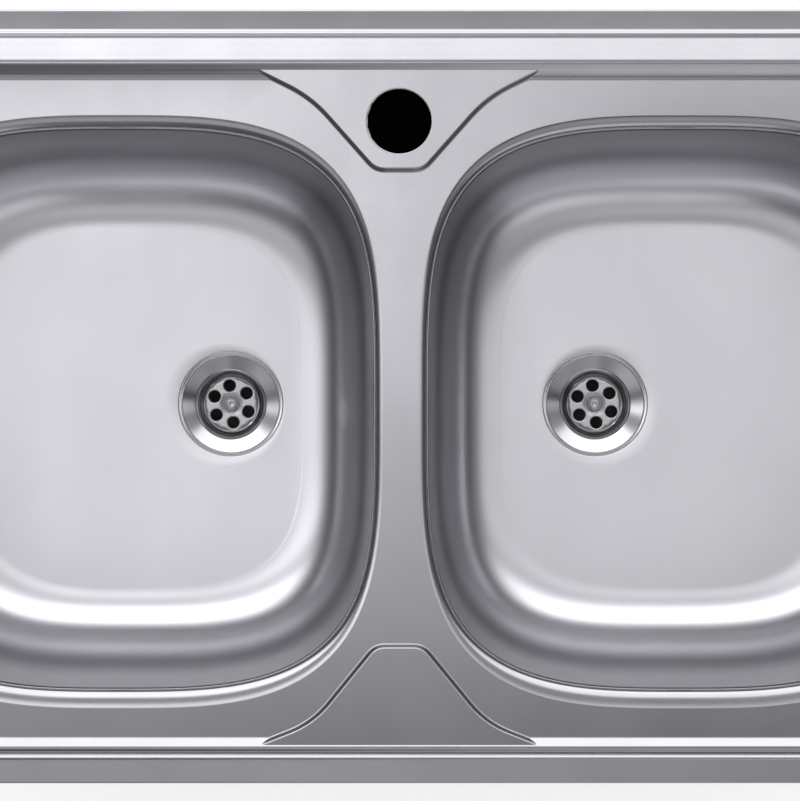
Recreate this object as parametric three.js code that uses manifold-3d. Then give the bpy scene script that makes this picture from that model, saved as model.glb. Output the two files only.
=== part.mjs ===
// Double bowl kitchen sink of pressed satin stainless steel, for an inset mounting in a worktop.
// Millimetres, +Z up. The origin is the centre of the rim on the worktop's top face.
// +X is right and +Y is the back, the tap side.

import * as THREE from 'three';
import { mergeVertices } from 'three/addons/utils/BufferGeometryUtils.js';
import Module from 'manifold-3d';

const wasm = await Module();
wasm.setup();

// ---- Driving dimensions ----------------------------------------------------------------

// Sheet and fits
const sheet = 0.8; // steel gauge of deck and bowls
const gap = 0.3; // clearance where one piece seats on another
const past = 1; // how far a cut runs past the face that it opens

// Bowl mouths and the margins round them
const mouthHalfX = 160.5;
const mouthHalfY = 176;
const squareness = 3.6; // exponent of the mouth's superellipse
const dividerWidth = 27.4; // steel between the two mouths
const sideMargin = 55.3;
const frontMargin = 56.1;
const backMargin = 71.9;

// Rim, at the sides and the front
const outerRadius = 12;
const recessRadius = 45;
const edgeHeight = 1; // top of the rim's outer edge above the worktop
const flangeWidth = 15.2;
const flangeTop = 4;
const beadWidth = 8;
const beadTop = 5.8;
const beadDip = 0.7; // hollow along the top of the bead
const beadRound = 1.5;
const slopeRun = 5.2; // from the bead down to the deck
const deckHeight = 2.5;

// Rim, at the back
const backFlangeWidth = 14;
const backFlangeTop = 3;
const rampRun = 18;
const crestTop = 7.6;
const crestWidth = 3;
const backSlopeRun = 7.5;

// Raised plateaus between the bowls
const plateauReach = 59; // from the edge of the recess to the narrow end
const plateauHalfWidth = 90; // where a flank leaves the slope of the rim
const flankStart = 6; // outside the edge of the recess
const flankPull = [26, 6]; // the two pulls that bend a flank, as [x, distance from the recess's edge]
const flankEndPull = [30, 18];
const plateauRoot = [12, 18]; // a flank runs on under the rim by this, beyond its start
const plateauTipHalf = 20;
const tipFlatHalf = 7.5; // half of the straight end
const tipDepth = 6; // how much of the reach the round of the tip takes
const tipPull = 5.3;
const plateauTop = 5.5;
const plateauSlope = 4;
const tapHoleRadius = 20;
const tapHoleChamfer = 0.5;
const tapHoleInset = 27.1; // from the back edge of the recess

// Lip and bowls
const lipRun = 7;
const lipRise = 0.05; // how far the lip's form stands above the deck, so that it cuts cleanly
const seamHeight = -1.5;
const bowlDepth = 160;
const wallDraft = 5; // degrees
const floorRadius = 44;
const floorInsetX = 50;
const floorInsetY = 58;
const floorFall = 2;
const leftDrainOffset = 60.6; // from the bowl's centre towards the divider
const rightDrainOffset = 44.5;
const drainBack = 3;
const drainHoleRadius = 26;
const drainRecessRadius = 37.5;

// Waste fitting
const flangeRadius = 35;
const flangeSheet = 0.8;
const rolledEdge = 2.6;
const rollDrop = 0.4; // from the top of the rolled edge down to the dish
const rollRun = 0.8;
const edgeRound = 0.5;
const dishRadius = 22.8;
const dishDrop = 3.9;
const shoulderRun = 0.65; // the round between the dish and the cup's wall, either way
const shoulderDrop = 1.2;
const plateRadius = 18.8;
const plateDrop = 10;
const cupBend = [1.6, 1.2]; // the round between the plate and the cup's wall
const strainerHoleRadius = 4;
const strainerHoleCircle = 12.4;
const strainerHoles = 6;
const strainerHoleStart = 35.8; // degrees
const sealThickness = 1.2;
const sealWidth = 5.5;
const sealStandoff = 0.5; // from the bowl's hole
const gasketStandoff = 0.8;
const gasketWidth = 6.4;
const gasketThickness = 1.6;
const wasteFlangeRadius = 34;
const wasteFlangeThickness = 3.5;
const wasteBoreRadius = 24;
const tailRadius = 23.7;
const tailWall = 3.9;
const funnelLength = 20;
const tailLength = 52;
const funnelNeck = 1; // how much narrower the funnel is half way down
const bossRadius = 8;
const bossLength = 16;
const bossDrop = 3; // from the plate down to the boss
const bossFloor = 2; // left below the seat of the insert
const spiderRibs = 4;
const ribThickness = 2.6;
const ribHeight = 10;
const insertRadius = 5.4;
const screwRadius = 2.9;
const screwHeadRadius = 5;
const screwHeadHeight = 3.2;
const screwHeadEdge = 0.8; // straight edge below the dome
const screwTail = 5; // below the boss
const screwChamfer = 0.8;
const slotWidth = 1.3;
const slotDepth = 1.4;

// Coupling nut of the waste
const nutWall = 4;
const nutHeight = 24;
const nutLip = 3;
const nutOpening = 20.3; // radius, for a 40 mm pipe
const nutChamfer = 1;
const nutLugs = 6;
const lugDepth = 2.6;
const lugWidth = 7;
const lugSink = 1; // how deep a lug's root lies in the wall
const lugTopInset = 5;
const lugBottomInset = 1;
const washerThickness = 2.4;
const washerChamfer = [0.6, 0.8];

// Rim seal, tap stiffener and sound-deadening pads
const sealOuterShare = 0.27; // where the rim seal lies across the flange
const sealInnerShare = 0.73;
const stiffenerThickness = 2;
const stiffenerInset = 10;
const stiffenerDepth = 50;
const padHalfX = 46;
const padHalfY = 84;
const padRadius = 18;
const padThickness = 3;
const padClearance = 8; // from the recess of the drain

// Fixing clips
const clipSpacingY = 115; // from the bowl's centre line, at the sides
const worktopOverlap = 7; // inset of the claw's tip from the rim's edge
const bracketWidth = 16;
const bracketDepth = 14;
const bracketPlate = 1.5;
const threadCollarRadius = 5.5;
const threadCollarLength = 3;
const bladeWidth = 8;
const clipScrewRadius = 3;
const clipHeadRadius = 5;
const clipHeadHeight = 4;
const threadClearance = 0.1;
const clawRest = 42; // depth of the claw's tip below the worktop's top face, fully open
const clawTravel = 14;
const clawWidth = 14;
const clawPlate = 3;
const clawBlock = 5.5;
const clawTipHeight = 4.5;
const clawTipThickness = 2.5;
const clawRamp = 2.5; // run of the slope from the claw's block to its arm
const bladeTail = 2; // of the bracket's blade, below the claw at rest

// Fineness of the facets
const mouthSteps = 36;
const cornerSteps = 5;
const lipSteps = 3;
const floorSteps = 5;
const roundSteps = 18;
const smallSteps = 10;
const flankSteps = 8;
const tipSteps = 3;
const domeSteps = 3;

// ---- Sizes that follow from them -------------------------------------------------------

const bowlX = dividerWidth / 2 + mouthHalfX;
const rimHalfX = bowlX + mouthHalfX + sideMargin;
const rimHalfY = (frontMargin + 2 * mouthHalfY + backMargin) / 2;
const bowlY = rimHalfY - backMargin - mouthHalfY;
const sideRecess = flangeWidth + beadWidth + slopeRun;
const backRecess = backFlangeWidth + rampRun + crestWidth + backSlopeRun;
const formDepth = 12; // how deep the blocks reach that the sheet is cut from
const underDeck = deckHeight - sheet;

const drainTop = -bowlDepth - floorFall;
const flangeZ = drainTop + gap; // top of the waste's flange
const dishEdge = flangeRadius - rolledEdge;
const coneSlope = dishDrop / (dishEdge - dishRadius);
const cupUnder = flangeZ - flangeSheet - rollDrop; // underside of the dish at its edge
const recessCone = cupUnder - sealThickness - 2 * gap; // face of the bowl's recess, same radius
const gasketInner = drainHoleRadius + gasketStandoff;
const gasketTop = recessCone - sheet - 2 * gap;
const gasketBottom = gasketTop - coneSlope * (dishEdge - gasketInner) - gasketThickness;
const wasteTop = gasketBottom - gap;
const funnelEnd = wasteTop - wasteFlangeThickness - funnelLength;
const tailEnd = funnelEnd - tailLength;
const tailBore = tailRadius - tailWall;
const plateTop = flangeZ - plateDrop;
const bossTop = plateTop - flangeSheet - bossDrop;
const bossBottom = bossTop - bossLength;

const tabTop = underDeck - bracketPlate - clawTravel - 2 * gap;
const tabBottom = tabTop - bracketPlate;
const clawTop = -clawRest - clawTipHeight;
const clawBottom = clawTop - clawBlock;

// ---- Solids ----------------------------------------------------------------------------

// A manifold solid from a closed geometry, turned the right way out.
function solid(geometry) {
  const plain = new THREE.BufferGeometry();
  plain.setAttribute('position', geometry.getAttribute('position').clone());
  if (geometry.index) plain.setIndex(geometry.index.clone());
  const merged = mergeVertices(plain, 1e-4);
  const place = merged.getAttribute('position');
  const corners = [new THREE.Vector3(), new THREE.Vector3(), new THREE.Vector3()];
  const kept = [];
  let volume = 0;
  for (let i = 0; i < merged.index.count; i += 3) {
    const face = [0, 1, 2].map((k) => merged.index.getX(i + k));
    if (new Set(face).size < 3) continue;
    face.forEach((vertex, k) => corners[k].fromBufferAttribute(place, vertex));
    volume += corners[0].dot(corners[1].clone().cross(corners[2]));
    kept.push(face);
  }
  const faces = volume > 0 ? kept : kept.map(([a, b, c]) => [a, c, b]);
  return new wasm.Manifold(new wasm.Mesh({
    numProp: 3,
    vertProperties: new Float32Array(place.array),
    triVerts: new Uint32Array(faces.flat()),
  }));
}

// The geometry of a manifold solid.
function geometryOf(body) {
  const mesh = body.getMesh();
  const geometry = new THREE.BufferGeometry();
  const position = new THREE.BufferAttribute(new Float32Array(mesh.vertProperties), 3);
  geometry.setAttribute('position', position);
  geometry.setIndex(new THREE.BufferAttribute(new Uint32Array(mesh.triVerts), 1));
  geometry.computeVertexNormals();
  return geometry;
}

// Faces through loops of equal length. The ends are capped flat, or joined to each other.
function loft(loops, ring = false) {
  const count = loops[0].length;
  const positions = loops.flat().flatMap((point) => [point.x, point.y, point.z]);
  const index = [];
  const bands = ring ? loops.length : loops.length - 1;
  for (let band = 0; band < bands; band++) {
    const low = band * count;
    const high = ((band + 1) % loops.length) * count;
    for (let i = 0; i < count; i++) {
      const next = (i + 1) % count;
      index.push(low + i, low + next, high + next, low + i, high + next, high + i);
    }
  }
  if (!ring) {
    const last = (loops.length - 1) * count;
    for (const [a, b, c] of THREE.ShapeUtils.triangulateShape(loops[0], [])) index.push(c, b, a);
    for (const [a, b, c] of THREE.ShapeUtils.triangulateShape(loops.at(-1), [])) {
      index.push(last + a, last + b, last + c);
    }
  }
  const geometry = new THREE.BufferGeometry();
  geometry.setAttribute('position', new THREE.Float32BufferAttribute(positions, 3));
  geometry.setIndex(index);
  return solid(geometry);
}

// A turned solid from [radius, z] points. A profile off the axis closes on itself.
function turned(profile, steps = roundSteps) {
  const points = profile.map(([radius, z]) => new THREE.Vector2(radius, z));
  const open = profile[0][0] < 1e-6 && profile.at(-1)[0] < 1e-6;
  if (!open) points.push(points[0].clone());
  return solid(new THREE.LatheGeometry(points, steps).rotateX(Math.PI / 2));
}

// The radius of a faceted bore whose flats clear a round of the given radius.
function boreRadius(radius, steps) {
  return radius / Math.cos(Math.PI / steps);
}

function rod(radius, low, high, x = 0, y = 0, steps = smallSteps, topRadius = radius) {
  const geometry = new THREE.CylinderGeometry(topRadius, radius, high - low, steps);
  return solid(geometry.rotateX(Math.PI / 2).translate(x, y, (low + high) / 2));
}

function block(sizeX, [backY, frontY], [low, high]) {
  const geometry = new THREE.BoxGeometry(sizeX, frontY - backY, high - low);
  return solid(geometry.translate(0, (backY + frontY) / 2, (low + high) / 2));
}

// A [y, z] outline extruded across X, centred.
function across(outline, width) {
  const shape = new THREE.Shape(outline.map(([y, z]) => new THREE.Vector2(y, z)));
  const geometry = new THREE.ExtrudeGeometry(shape, { depth: width, bevelEnabled: false });
  const turn = new THREE.Matrix4().makeBasis(
    new THREE.Vector3(0, 1, 0),
    new THREE.Vector3(0, 0, 1),
    new THREE.Vector3(1, 0, 0),
  );
  return solid(geometry.translate(0, 0, -width / 2).applyMatrix4(turn));
}

// The points of a line moved sideways, to the right of its direction.
function beside(line, distance) {
  return line.map((point, i) => {
    const before = line[Math.max(i - 1, 0)];
    const after = line[Math.min(i + 1, line.length - 1)];
    const first = Math.hypot(point[0] - before[0], point[1] - before[1]) || 1;
    const second = Math.hypot(after[0] - point[0], after[1] - point[1]) || 1;
    const x = (point[0] - before[0]) / first + (after[0] - point[0]) / second;
    const z = (point[1] - before[1]) / first + (after[1] - point[1]) / second;
    const ends = i === 0 || i === line.length - 1 ? 1 : 2;
    const mitre = (distance * ends) / (x * x + z * z);
    return [point[0] + z * mitre, point[1] - x * mitre];
  });
}

// ---- Outlines --------------------------------------------------------------------------

// A loop of the bowl's mouth, moved out by grow along its normal.
function mouthLoop(side, halfX, halfY, z, grow = 0) {
  return Array.from({ length: mouthSteps }, (_, i) => {
    const angle = (i / mouthSteps) * 2 * Math.PI;
    const cos = Math.cos(angle);
    const sin = Math.sin(angle);
    const x = Math.sign(cos) * Math.abs(cos) ** (2 / squareness);
    const y = Math.sign(sin) * Math.abs(sin) ** (2 / squareness);
    const normal = new THREE.Vector2(
      Math.sign(x) * Math.abs(x) ** (squareness - 1) / halfX,
      Math.sign(y) * Math.abs(y) ** (squareness - 1) / halfY,
    ).normalize();
    return new THREE.Vector3(
      side * bowlX + x * halfX + normal.x * grow,
      bowlY + y * halfY + normal.y * grow,
      z,
    );
  });
}

function drainCentre(side) {
  const offset = side < 0 ? leftDrainOffset : rightDrainOffset;
  return new THREE.Vector2(side * (bowlX - offset), bowlY + drainBack);
}

function drainLoop(side, radius, z) {
  const centre = drainCentre(side);
  return Array.from({ length: mouthSteps }, (_, i) => {
    const angle = (i / mouthSteps) * 2 * Math.PI;
    const x = centre.x + radius * Math.cos(angle);
    return new THREE.Vector3(x, centre.y + radius * Math.sin(angle), z);
  });
}

// The rim's cross-section from its outer edge in: inset and height at the sides, then at the back.
const rimSections = [
  [0, edgeHeight, 0, edgeHeight],
  [flangeWidth, flangeTop, backFlangeWidth, backFlangeTop],
  [flangeWidth + beadRound / 2, beadTop, backFlangeWidth + beadRound, backFlangeTop + 0.2],
  [flangeWidth + beadRound, beadTop, backFlangeWidth + 2 * beadRound, backFlangeTop + 0.6],
  [
    flangeWidth + 2 * beadRound, beadTop - beadDip,
    backFlangeWidth + rampRun - beadRound, crestTop - beadDip,
  ],
  [
    flangeWidth + beadWidth - 2 * beadRound, beadTop - beadDip,
    backFlangeWidth + rampRun, crestTop,
  ],
  [
    flangeWidth + beadWidth - beadRound, beadTop,
    backFlangeWidth + rampRun + crestWidth / 2, crestTop,
  ],
  [
    flangeWidth + beadWidth, beadTop - 0.1,
    backFlangeWidth + rampRun + crestWidth, crestTop - beadDip,
  ],
  [sideRecess, deckHeight, backRecess, deckHeight],
];

// A loop of the rim: the side section runs round the front, and eases into the back section
// through the two back corners.
function rimLoop([sideInset, sideZ, backInset, backZ]) {
  const radius = THREE.MathUtils.lerp(outerRadius, recessRadius, sideInset / sideRecess);
  const x = rimHalfX - sideInset - radius;
  const back = rimHalfY - backInset - radius;
  const front = rimHalfY - sideInset - radius;
  const corners = [
    [x, back, 0, 1], [-x, back, 1, 0], [-x, -front, 0, 0], [x, -front, 0, 0],
  ];
  return corners.flatMap(([centreX, centreY, from, to], corner) => (
    Array.from({ length: cornerSteps + 1 }, (_, i) => {
      const share = i / cornerSteps;
      const angle = ((corner + share) * Math.PI) / 2;
      const ease = THREE.MathUtils.lerp(from, to, THREE.MathUtils.smoothstep(share, 0, 1));
      return new THREE.Vector3(
        centreX + radius * Math.cos(angle),
        centreY + radius * Math.sin(angle),
        THREE.MathUtils.lerp(sideZ, backZ, ease),
      );
    })
  ));
}

// Half of a plateau's outline, as [x, distance from the edge of the recess]: a flank that
// follows the bowl's corner out of the rim, and a narrow round end.
function plateauFlank() {
  const flank = new THREE.CubicBezierCurve(
    new THREE.Vector2(plateauHalfWidth, -flankStart),
    new THREE.Vector2(plateauHalfWidth - flankPull[0], flankPull[1]),
    new THREE.Vector2(plateauTipHalf + flankEndPull[0], flankEndPull[1]),
    new THREE.Vector2(plateauTipHalf, plateauReach - tipDepth),
  ).getPoints(flankSteps);
  const tip = new THREE.QuadraticBezierCurve(
    new THREE.Vector2(plateauTipHalf, plateauReach - tipDepth),
    new THREE.Vector2(plateauTipHalf - tipPull, plateauReach),
    new THREE.Vector2(tipFlatHalf, plateauReach),
  ).getPoints(tipSteps);
  const root = new THREE.Vector2(plateauHalfWidth + plateauRoot[0], -plateauRoot[1]);
  return [root, ...flank, ...tip.slice(1)].map((point) => [point.x, point.y]);
}

// A loop of a plateau at height z, moved out by grow: end is 1 at the back and -1 at the front.
function plateauLoop(end, z, grow) {
  const edge = end > 0 ? rimHalfY - backRecess : -(rimHalfY - sideRecess);
  const right = beside(plateauFlank(), grow);
  const left = right.map(([x, y]) => [-x, y]).reverse();
  const loop = [...right, ...left].map(([x, y]) => new THREE.Vector3(x, edge - end * y, z));
  return end > 0 ? loop.reverse() : loop;
}

// ---- Deck ------------------------------------------------------------------------------

// A plateau runs into the rim as far as the rim's crest.
function plateau(end, drop) {
  const foot = plateauSlope / (plateauTop - deckHeight);
  const loops = [deckHeight - past, plateauTop].map((z) => (
    plateauLoop(end, z - drop, (deckHeight - z) * foot)
  ));
  const crest = end > 0
    ? rimHalfY - backFlangeWidth - rampRun - crestWidth / 2
    : -rimHalfY + flangeWidth + beadWidth - beadRound / 2;
  const kept = block(
    4 * plateauHalfWidth, [Math.min(crest, 0), Math.max(crest, 0)], [-formDepth, formDepth],
  );
  return loft(loops).intersect(kept);
}

// The block whose top is the pressed face, lowered by drop.
function deckBlock(drop) {
  const loops = rimSections.map(rimLoop);
  const foot = loops[0].map((point) => new THREE.Vector3(point.x, point.y, -formDepth));
  const lowered = [foot, ...loops].map((loop) => (
    loop.map((point) => new THREE.Vector3(point.x, point.y, point.z - drop))
  ));
  return loft(lowered).add(plateau(1, drop)).add(plateau(-1, drop));
}

// What a bowl's mouth takes out of the deck: its lip is a quarter of an ellipse, out to the deck.
function mouthCut(side, wall) {
  const rise = deckHeight - seamHeight - wall + lipRise;
  const loops = [mouthLoop(side, mouthHalfX, mouthHalfY, -2 * formDepth, wall)];
  for (let i = 0; i <= lipSteps; i++) {
    const angle = ((i / lipSteps) * Math.PI) / 2;
    const grow = wall + (lipRun - wall) * (1 - Math.cos(angle));
    const z = seamHeight + rise * Math.sin(angle);
    loops.push(mouthLoop(side, mouthHalfX, mouthHalfY, z, grow));
  }
  loops.push(mouthLoop(side, mouthHalfX, mouthHalfY, formDepth, lipRun));
  return loft(loops);
}

function deck() {
  const mouths = (wall) => mouthCut(-1, wall).add(mouthCut(1, wall));
  const face = deckBlock(0).subtract(mouths(0));
  const under = deckBlock(sheet).subtract(mouths(sheet));
  const span = [-rimHalfY - past, rimHalfY + past];
  const below = block(2 * (rimHalfX + past), span, [-2 * formDepth, seamHeight]);
  const tapY = rimHalfY - backRecess - tapHoleInset;
  const hole = rod(tapHoleRadius, -formDepth, formDepth, 0, tapY, 2 * roundSteps);
  const chamferLow = plateauTop - tapHoleChamfer;
  const chamferHigh = plateauTop + tapHoleChamfer;
  const chamfer = rod(
    tapHoleRadius, chamferLow, chamferHigh, 0, tapY, 2 * roundSteps,
    tapHoleRadius + 2 * tapHoleChamfer,
  );
  return face.subtract(under).subtract(below).subtract(hole).subtract(chamfer);
}

// ---- Bowls -----------------------------------------------------------------------------

// The wall from the seam down to the floor, as [share of the inset, z].
function wallLine() {
  const draft = THREE.MathUtils.degToRad(wallDraft);
  const top = seamHeight - gap;
  const arcTop = -bowlDepth + floorRadius * (1 - Math.sin(draft));
  const run = floorRadius * Math.cos(draft) + (top - arcTop) * Math.tan(draft);
  const line = [[0, top]];
  for (let i = 0; i <= floorSteps; i++) {
    const angle = THREE.MathUtils.lerp(draft, Math.PI / 2, i / floorSteps);
    const inset = run - floorRadius * Math.cos(angle);
    line.push([inset / run, -bowlDepth + floorRadius * (1 - Math.sin(angle))]);
  }
  return line;
}

// The floor's recess round the waste hole, as [radius, z].
const recessLine = [
  [drainRecessRadius, drainTop],
  [drainRecessRadius - 1, recessCone + coneSlope * (drainRecessRadius - 1 - dishEdge)],
  [drainHoleRadius, recessCone - coneSlope * (dishEdge - drainHoleRadius)],
];

// The loops of one skin of a bowl, from the seam to the waste hole.
function bowlSkin(side, wall) {
  const mean = (floorInsetX + floorInsetY) / 2;
  const inner = wallLine();
  const outer = beside(inner.map(([share, z]) => [share * mean, z]), wall);
  const walls = inner.map(([share], i) => {
    const grow = share * mean - outer[i][0];
    const halfX = mouthHalfX - share * floorInsetX;
    const halfY = mouthHalfY - share * floorInsetY;
    return mouthLoop(side, halfX, halfY, outer[i][1], grow);
  });
  const floor = recessLine.map(([radius, z]) => drainLoop(side, radius, z - wall));
  return [...walls, ...floor];
}

function bowl(side) {
  return loft([...bowlSkin(side, 0), ...bowlSkin(side, sheet).reverse()], true);
}

function roundedRectangle(x, y, halfX, halfY, radius, low, high) {
  const outline = [[1, 1], [-1, 1], [-1, -1], [1, -1]].flatMap(([signX, signY], corner) => (
    Array.from({ length: cornerSteps + 1 }, (_, i) => {
      const angle = ((corner + i / cornerSteps) * Math.PI) / 2;
      return [
        x + signX * (halfX - radius) + radius * Math.cos(angle),
        y + signY * (halfY - radius) + radius * Math.sin(angle),
      ];
    })
  ));
  return loft([low, high].map((z) => outline.map((p) => new THREE.Vector3(p[0], p[1], z))));
}

// A pad of constant thickness that follows the underside of the floor, away from the drain.
function soundPad(side) {
  const skin = bowlSkin(side, sheet).slice(floorSteps + 1, floorSteps + 3);
  const top = skin.map((loop) => loop.map((p) => new THREE.Vector3(p.x, p.y, p.z - gap)));
  const low = top.map((loop) => loop.map((p) => new THREE.Vector3(p.x, p.y, p.z - padThickness)));
  const slab = loft([...top, ...low.reverse()], true);
  const x = drainCentre(side).x + side * (drainRecessRadius + padClearance + padHalfX);
  const bottom = drainTop - sheet - padThickness - past;
  const prism = roundedRectangle(x, bowlY, padHalfX, padHalfY, padRadius, bottom, -bowlDepth);
  return slab.intersect(prism);
}

// ---- Waste fitting, about its own axis -------------------------------------------------

function strainerCup() {
  const line = [
    [0, plateTop],
    [plateRadius, plateTop],
    [plateRadius + cupBend[0], plateTop + cupBend[1]],
    [dishRadius - shoulderRun, flangeZ - dishDrop - shoulderDrop],
    [dishRadius + shoulderRun, flangeZ - dishDrop],
    [dishEdge, flangeZ - rollDrop],
    [dishEdge + rollRun, flangeZ],
    [flangeRadius - edgeRound, flangeZ],
    [flangeRadius, flangeZ - edgeRound],
  ];
  const under = beside(line, flangeSheet);
  under[0][0] = 0;
  let cup = turned([...line, ...under.reverse()], 2 * smallSteps);
  const plateLow = plateTop - flangeSheet - past;
  for (let i = 0; i < strainerHoles; i++) {
    const angle = THREE.MathUtils.degToRad(strainerHoleStart) + (i / strainerHoles) * 2 * Math.PI;
    const x = strainerHoleCircle * Math.cos(angle);
    const y = strainerHoleCircle * Math.sin(angle);
    cup = cup.subtract(rod(strainerHoleRadius, plateLow, plateTop + past, x, y));
  }
  return cup.subtract(rod(screwRadius + gap, plateLow, plateTop + past));
}

function strainerScrew() {
  const headBottom = plateTop + gap;
  const end = bossBottom - screwTail;
  const dome = [];
  for (let i = 0; i <= domeSteps; i++) {
    const angle = ((i / domeSteps) * Math.PI) / 2;
    dome.push([
      screwHeadRadius * Math.cos(angle),
      headBottom + screwHeadEdge + (screwHeadHeight - screwHeadEdge) * Math.sin(angle),
    ]);
  }
  dome.at(-1)[0] = 0;
  const profile = [
    [0, end], [screwRadius - screwChamfer, end], [screwRadius, end + screwChamfer],
    [screwRadius, headBottom], [screwHeadRadius, headBottom], ...dome,
  ];
  const headTop = headBottom + screwHeadHeight;
  const slot = block(
    slotWidth, [-screwHeadRadius - past, screwHeadRadius + past], [headTop - slotDepth, headTop + past],
  );
  return turned(profile, smallSteps).subtract(slot);
}

function coneRing(inner, outer, top, height) {
  const low = top - coneSlope * (dishEdge - inner);
  const high = top - coneSlope * (dishEdge - outer);
  return turned([[inner, low], [outer, high], [outer, high - height], [inner, low - height]]);
}

function topSeal() {
  const inner = drainHoleRadius + sealStandoff;
  return coneRing(inner, inner + sealWidth, cupUnder - gap, sealThickness);
}

function baseGasket() {
  const outer = gasketInner + gasketWidth;
  return turned([
    [gasketInner, gasketTop - coneSlope * (dishEdge - gasketInner)],
    [outer, gasketTop - coneSlope * (dishEdge - outer)],
    [outer, gasketBottom],
    [gasketInner, gasketBottom],
  ]);
}

function wasteBody() {
  const flangeBottom = wasteTop - wasteFlangeThickness;
  const shell = turned([
    [wasteBoreRadius, wasteTop],
    [wasteFlangeRadius, wasteTop],
    [wasteFlangeRadius, flangeBottom],
    [wasteBoreRadius + tailWall, flangeBottom - funnelNeck],
    [wasteBoreRadius + tailWall - funnelNeck, flangeBottom - funnelLength / 2],
    [tailRadius, funnelEnd],
    [tailRadius, tailEnd],
    [tailBore, tailEnd],
    [tailBore, funnelEnd],
    [wasteBoreRadius - funnelNeck, flangeBottom - funnelLength / 2],
  ]);
  let inside = rod(bossRadius, bossBottom, bossTop);
  for (let i = 0; i < spiderRibs / 2; i++) {
    const angle = (i / spiderRibs) * 2 * Math.PI;
    const length = 2 * wasteBoreRadius;
    const rib = new THREE.BoxGeometry(length, ribThickness, ribHeight);
    const middle = bossBottom + bossFloor + ribHeight / 2;
    inside = inside.add(solid(rib.rotateZ(angle).translate(0, 0, middle)));
  }
  const seat = rod(insertRadius + gap, bossBottom + bossFloor, bossTop + past);
  const through = rod(screwRadius + 3 * gap, bossBottom - past, bossTop + past);
  return shell.add(inside.subtract(seat).subtract(through));
}

function threadedInsert() {
  const low = bossBottom + bossFloor + gap;
  const bore = screwRadius + gap;
  const profile = [[bore, low], [insertRadius, low], [insertRadius, bossTop], [bore, bossTop]];
  return turned(profile, smallSteps);
}

function couplingNut() {
  const bore = boreRadius(tailRadius + gap, roundSteps);
  const outer = bore + nutWall;
  const low = tailEnd - washerThickness - 2 * gap - nutLip;
  const shell = turned([
    [bore, low + nutHeight],
    [outer - nutChamfer, low + nutHeight],
    [outer, low + nutHeight - nutChamfer],
    [outer, low],
    [nutOpening, low],
    [nutOpening, low + nutLip],
    [bore, low + nutLip],
  ]);
  let nut = shell;
  const lugHeight = nutHeight - lugTopInset - lugBottomInset;
  const lugMiddle = low + lugBottomInset + lugHeight / 2;
  for (let i = 0; i < nutLugs; i++) {
    const lug = new THREE.BoxGeometry(lugDepth + lugSink, lugWidth, lugHeight);
    lug.translate(outer + (lugDepth - lugSink) / 2, 0, lugMiddle);
    nut = nut.add(solid(lug.rotateZ((i / nutLugs) * 2 * Math.PI)));
  }
  return nut;
}

function coneWasher() {
  const top = tailEnd - gap;
  const outer = tailRadius - gap;
  return turned([
    [nutOpening, top],
    [outer - washerChamfer[0], top],
    [outer, top - washerChamfer[1]],
    [outer, top - washerThickness],
    [nutOpening, top - washerThickness],
  ]);
}

// ---- Rim seal and tap stiffener --------------------------------------------------------

function rimSeal() {
  const outerEdge = rimLoop(rimSections[0]);
  const innerEdge = rimLoop(rimSections[1]);
  const [outerTop, innerTop] = [sealOuterShare, sealInnerShare].map((share) => (
    outerEdge.map((point, i) => {
      const onFlange = point.clone().lerp(innerEdge[i], share);
      return onFlange.setZ(onFlange.z - sheet - gap);
    })
  ));
  const flat = (loop) => loop.map((point) => new THREE.Vector3(point.x, point.y, 0));
  return loft([flat(outerTop), outerTop, innerTop, flat(innerTop)], true);
}

function tapStiffener() {
  const top = plateauTop - sheet - gap;
  const loops = [top - stiffenerThickness, top].map((z) => (
    plateauLoop(1, z, -stiffenerInset)
  ));
  const end = rimHalfY - backRecess - stiffenerInset / 2;
  const kept = block(4 * plateauHalfWidth, [end - stiffenerDepth, end], [0, plateauTop]);
  const tapY = rimHalfY - backRecess - tapHoleInset;
  const hole = rod(tapHoleRadius + past, 0, plateauTop, 0, tapY, roundSteps);
  return loft(loops).intersect(kept).subtract(hole);
}

// ---- Fixing clips: local +Y points out to the rim's edge, Z is the sink's --------------

function clipBracket() {
  const half = bracketDepth / 2;
  const top = underDeck - gap;
  const web = -half + bracketPlate;
  const channel = across([
    [-half, tabBottom], [half, tabBottom], [half, tabTop], [web, tabTop],
    [web, top - bracketPlate], [half, top - bracketPlate], [half, top], [-half, top],
  ], bracketWidth);
  const blade = block(bladeWidth, [-half, web], [clawBottom - bladeTail, tabTop]);
  const collar = rod(threadCollarRadius, tabBottom - threadCollarLength, tabTop - gap);
  const bore = boreRadius(clipScrewRadius + threadClearance, smallSteps);
  const thread = rod(bore, tabBottom - threadCollarLength - past, tabTop + past);
  return channel.add(blade).add(collar).subtract(thread);
}

// The screw runs in the bracket's thread and carries the claw on its head.
function clipScrew() {
  const headTop = clawBottom - gap;
  const headBottom = headTop - clipHeadHeight;
  const profile = [
    [0, tabTop],
    [clipScrewRadius, tabTop],
    [clipScrewRadius, headTop],
    [clipHeadRadius, headTop],
    [clipHeadRadius, headBottom],
    [0, headBottom],
  ];
  const slot = block(
    slotWidth, [-clipHeadRadius - past, clipHeadRadius + past],
    [headBottom - past, headBottom + slotDepth],
  );
  return turned(profile, smallSteps).subtract(slot);
}

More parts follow.
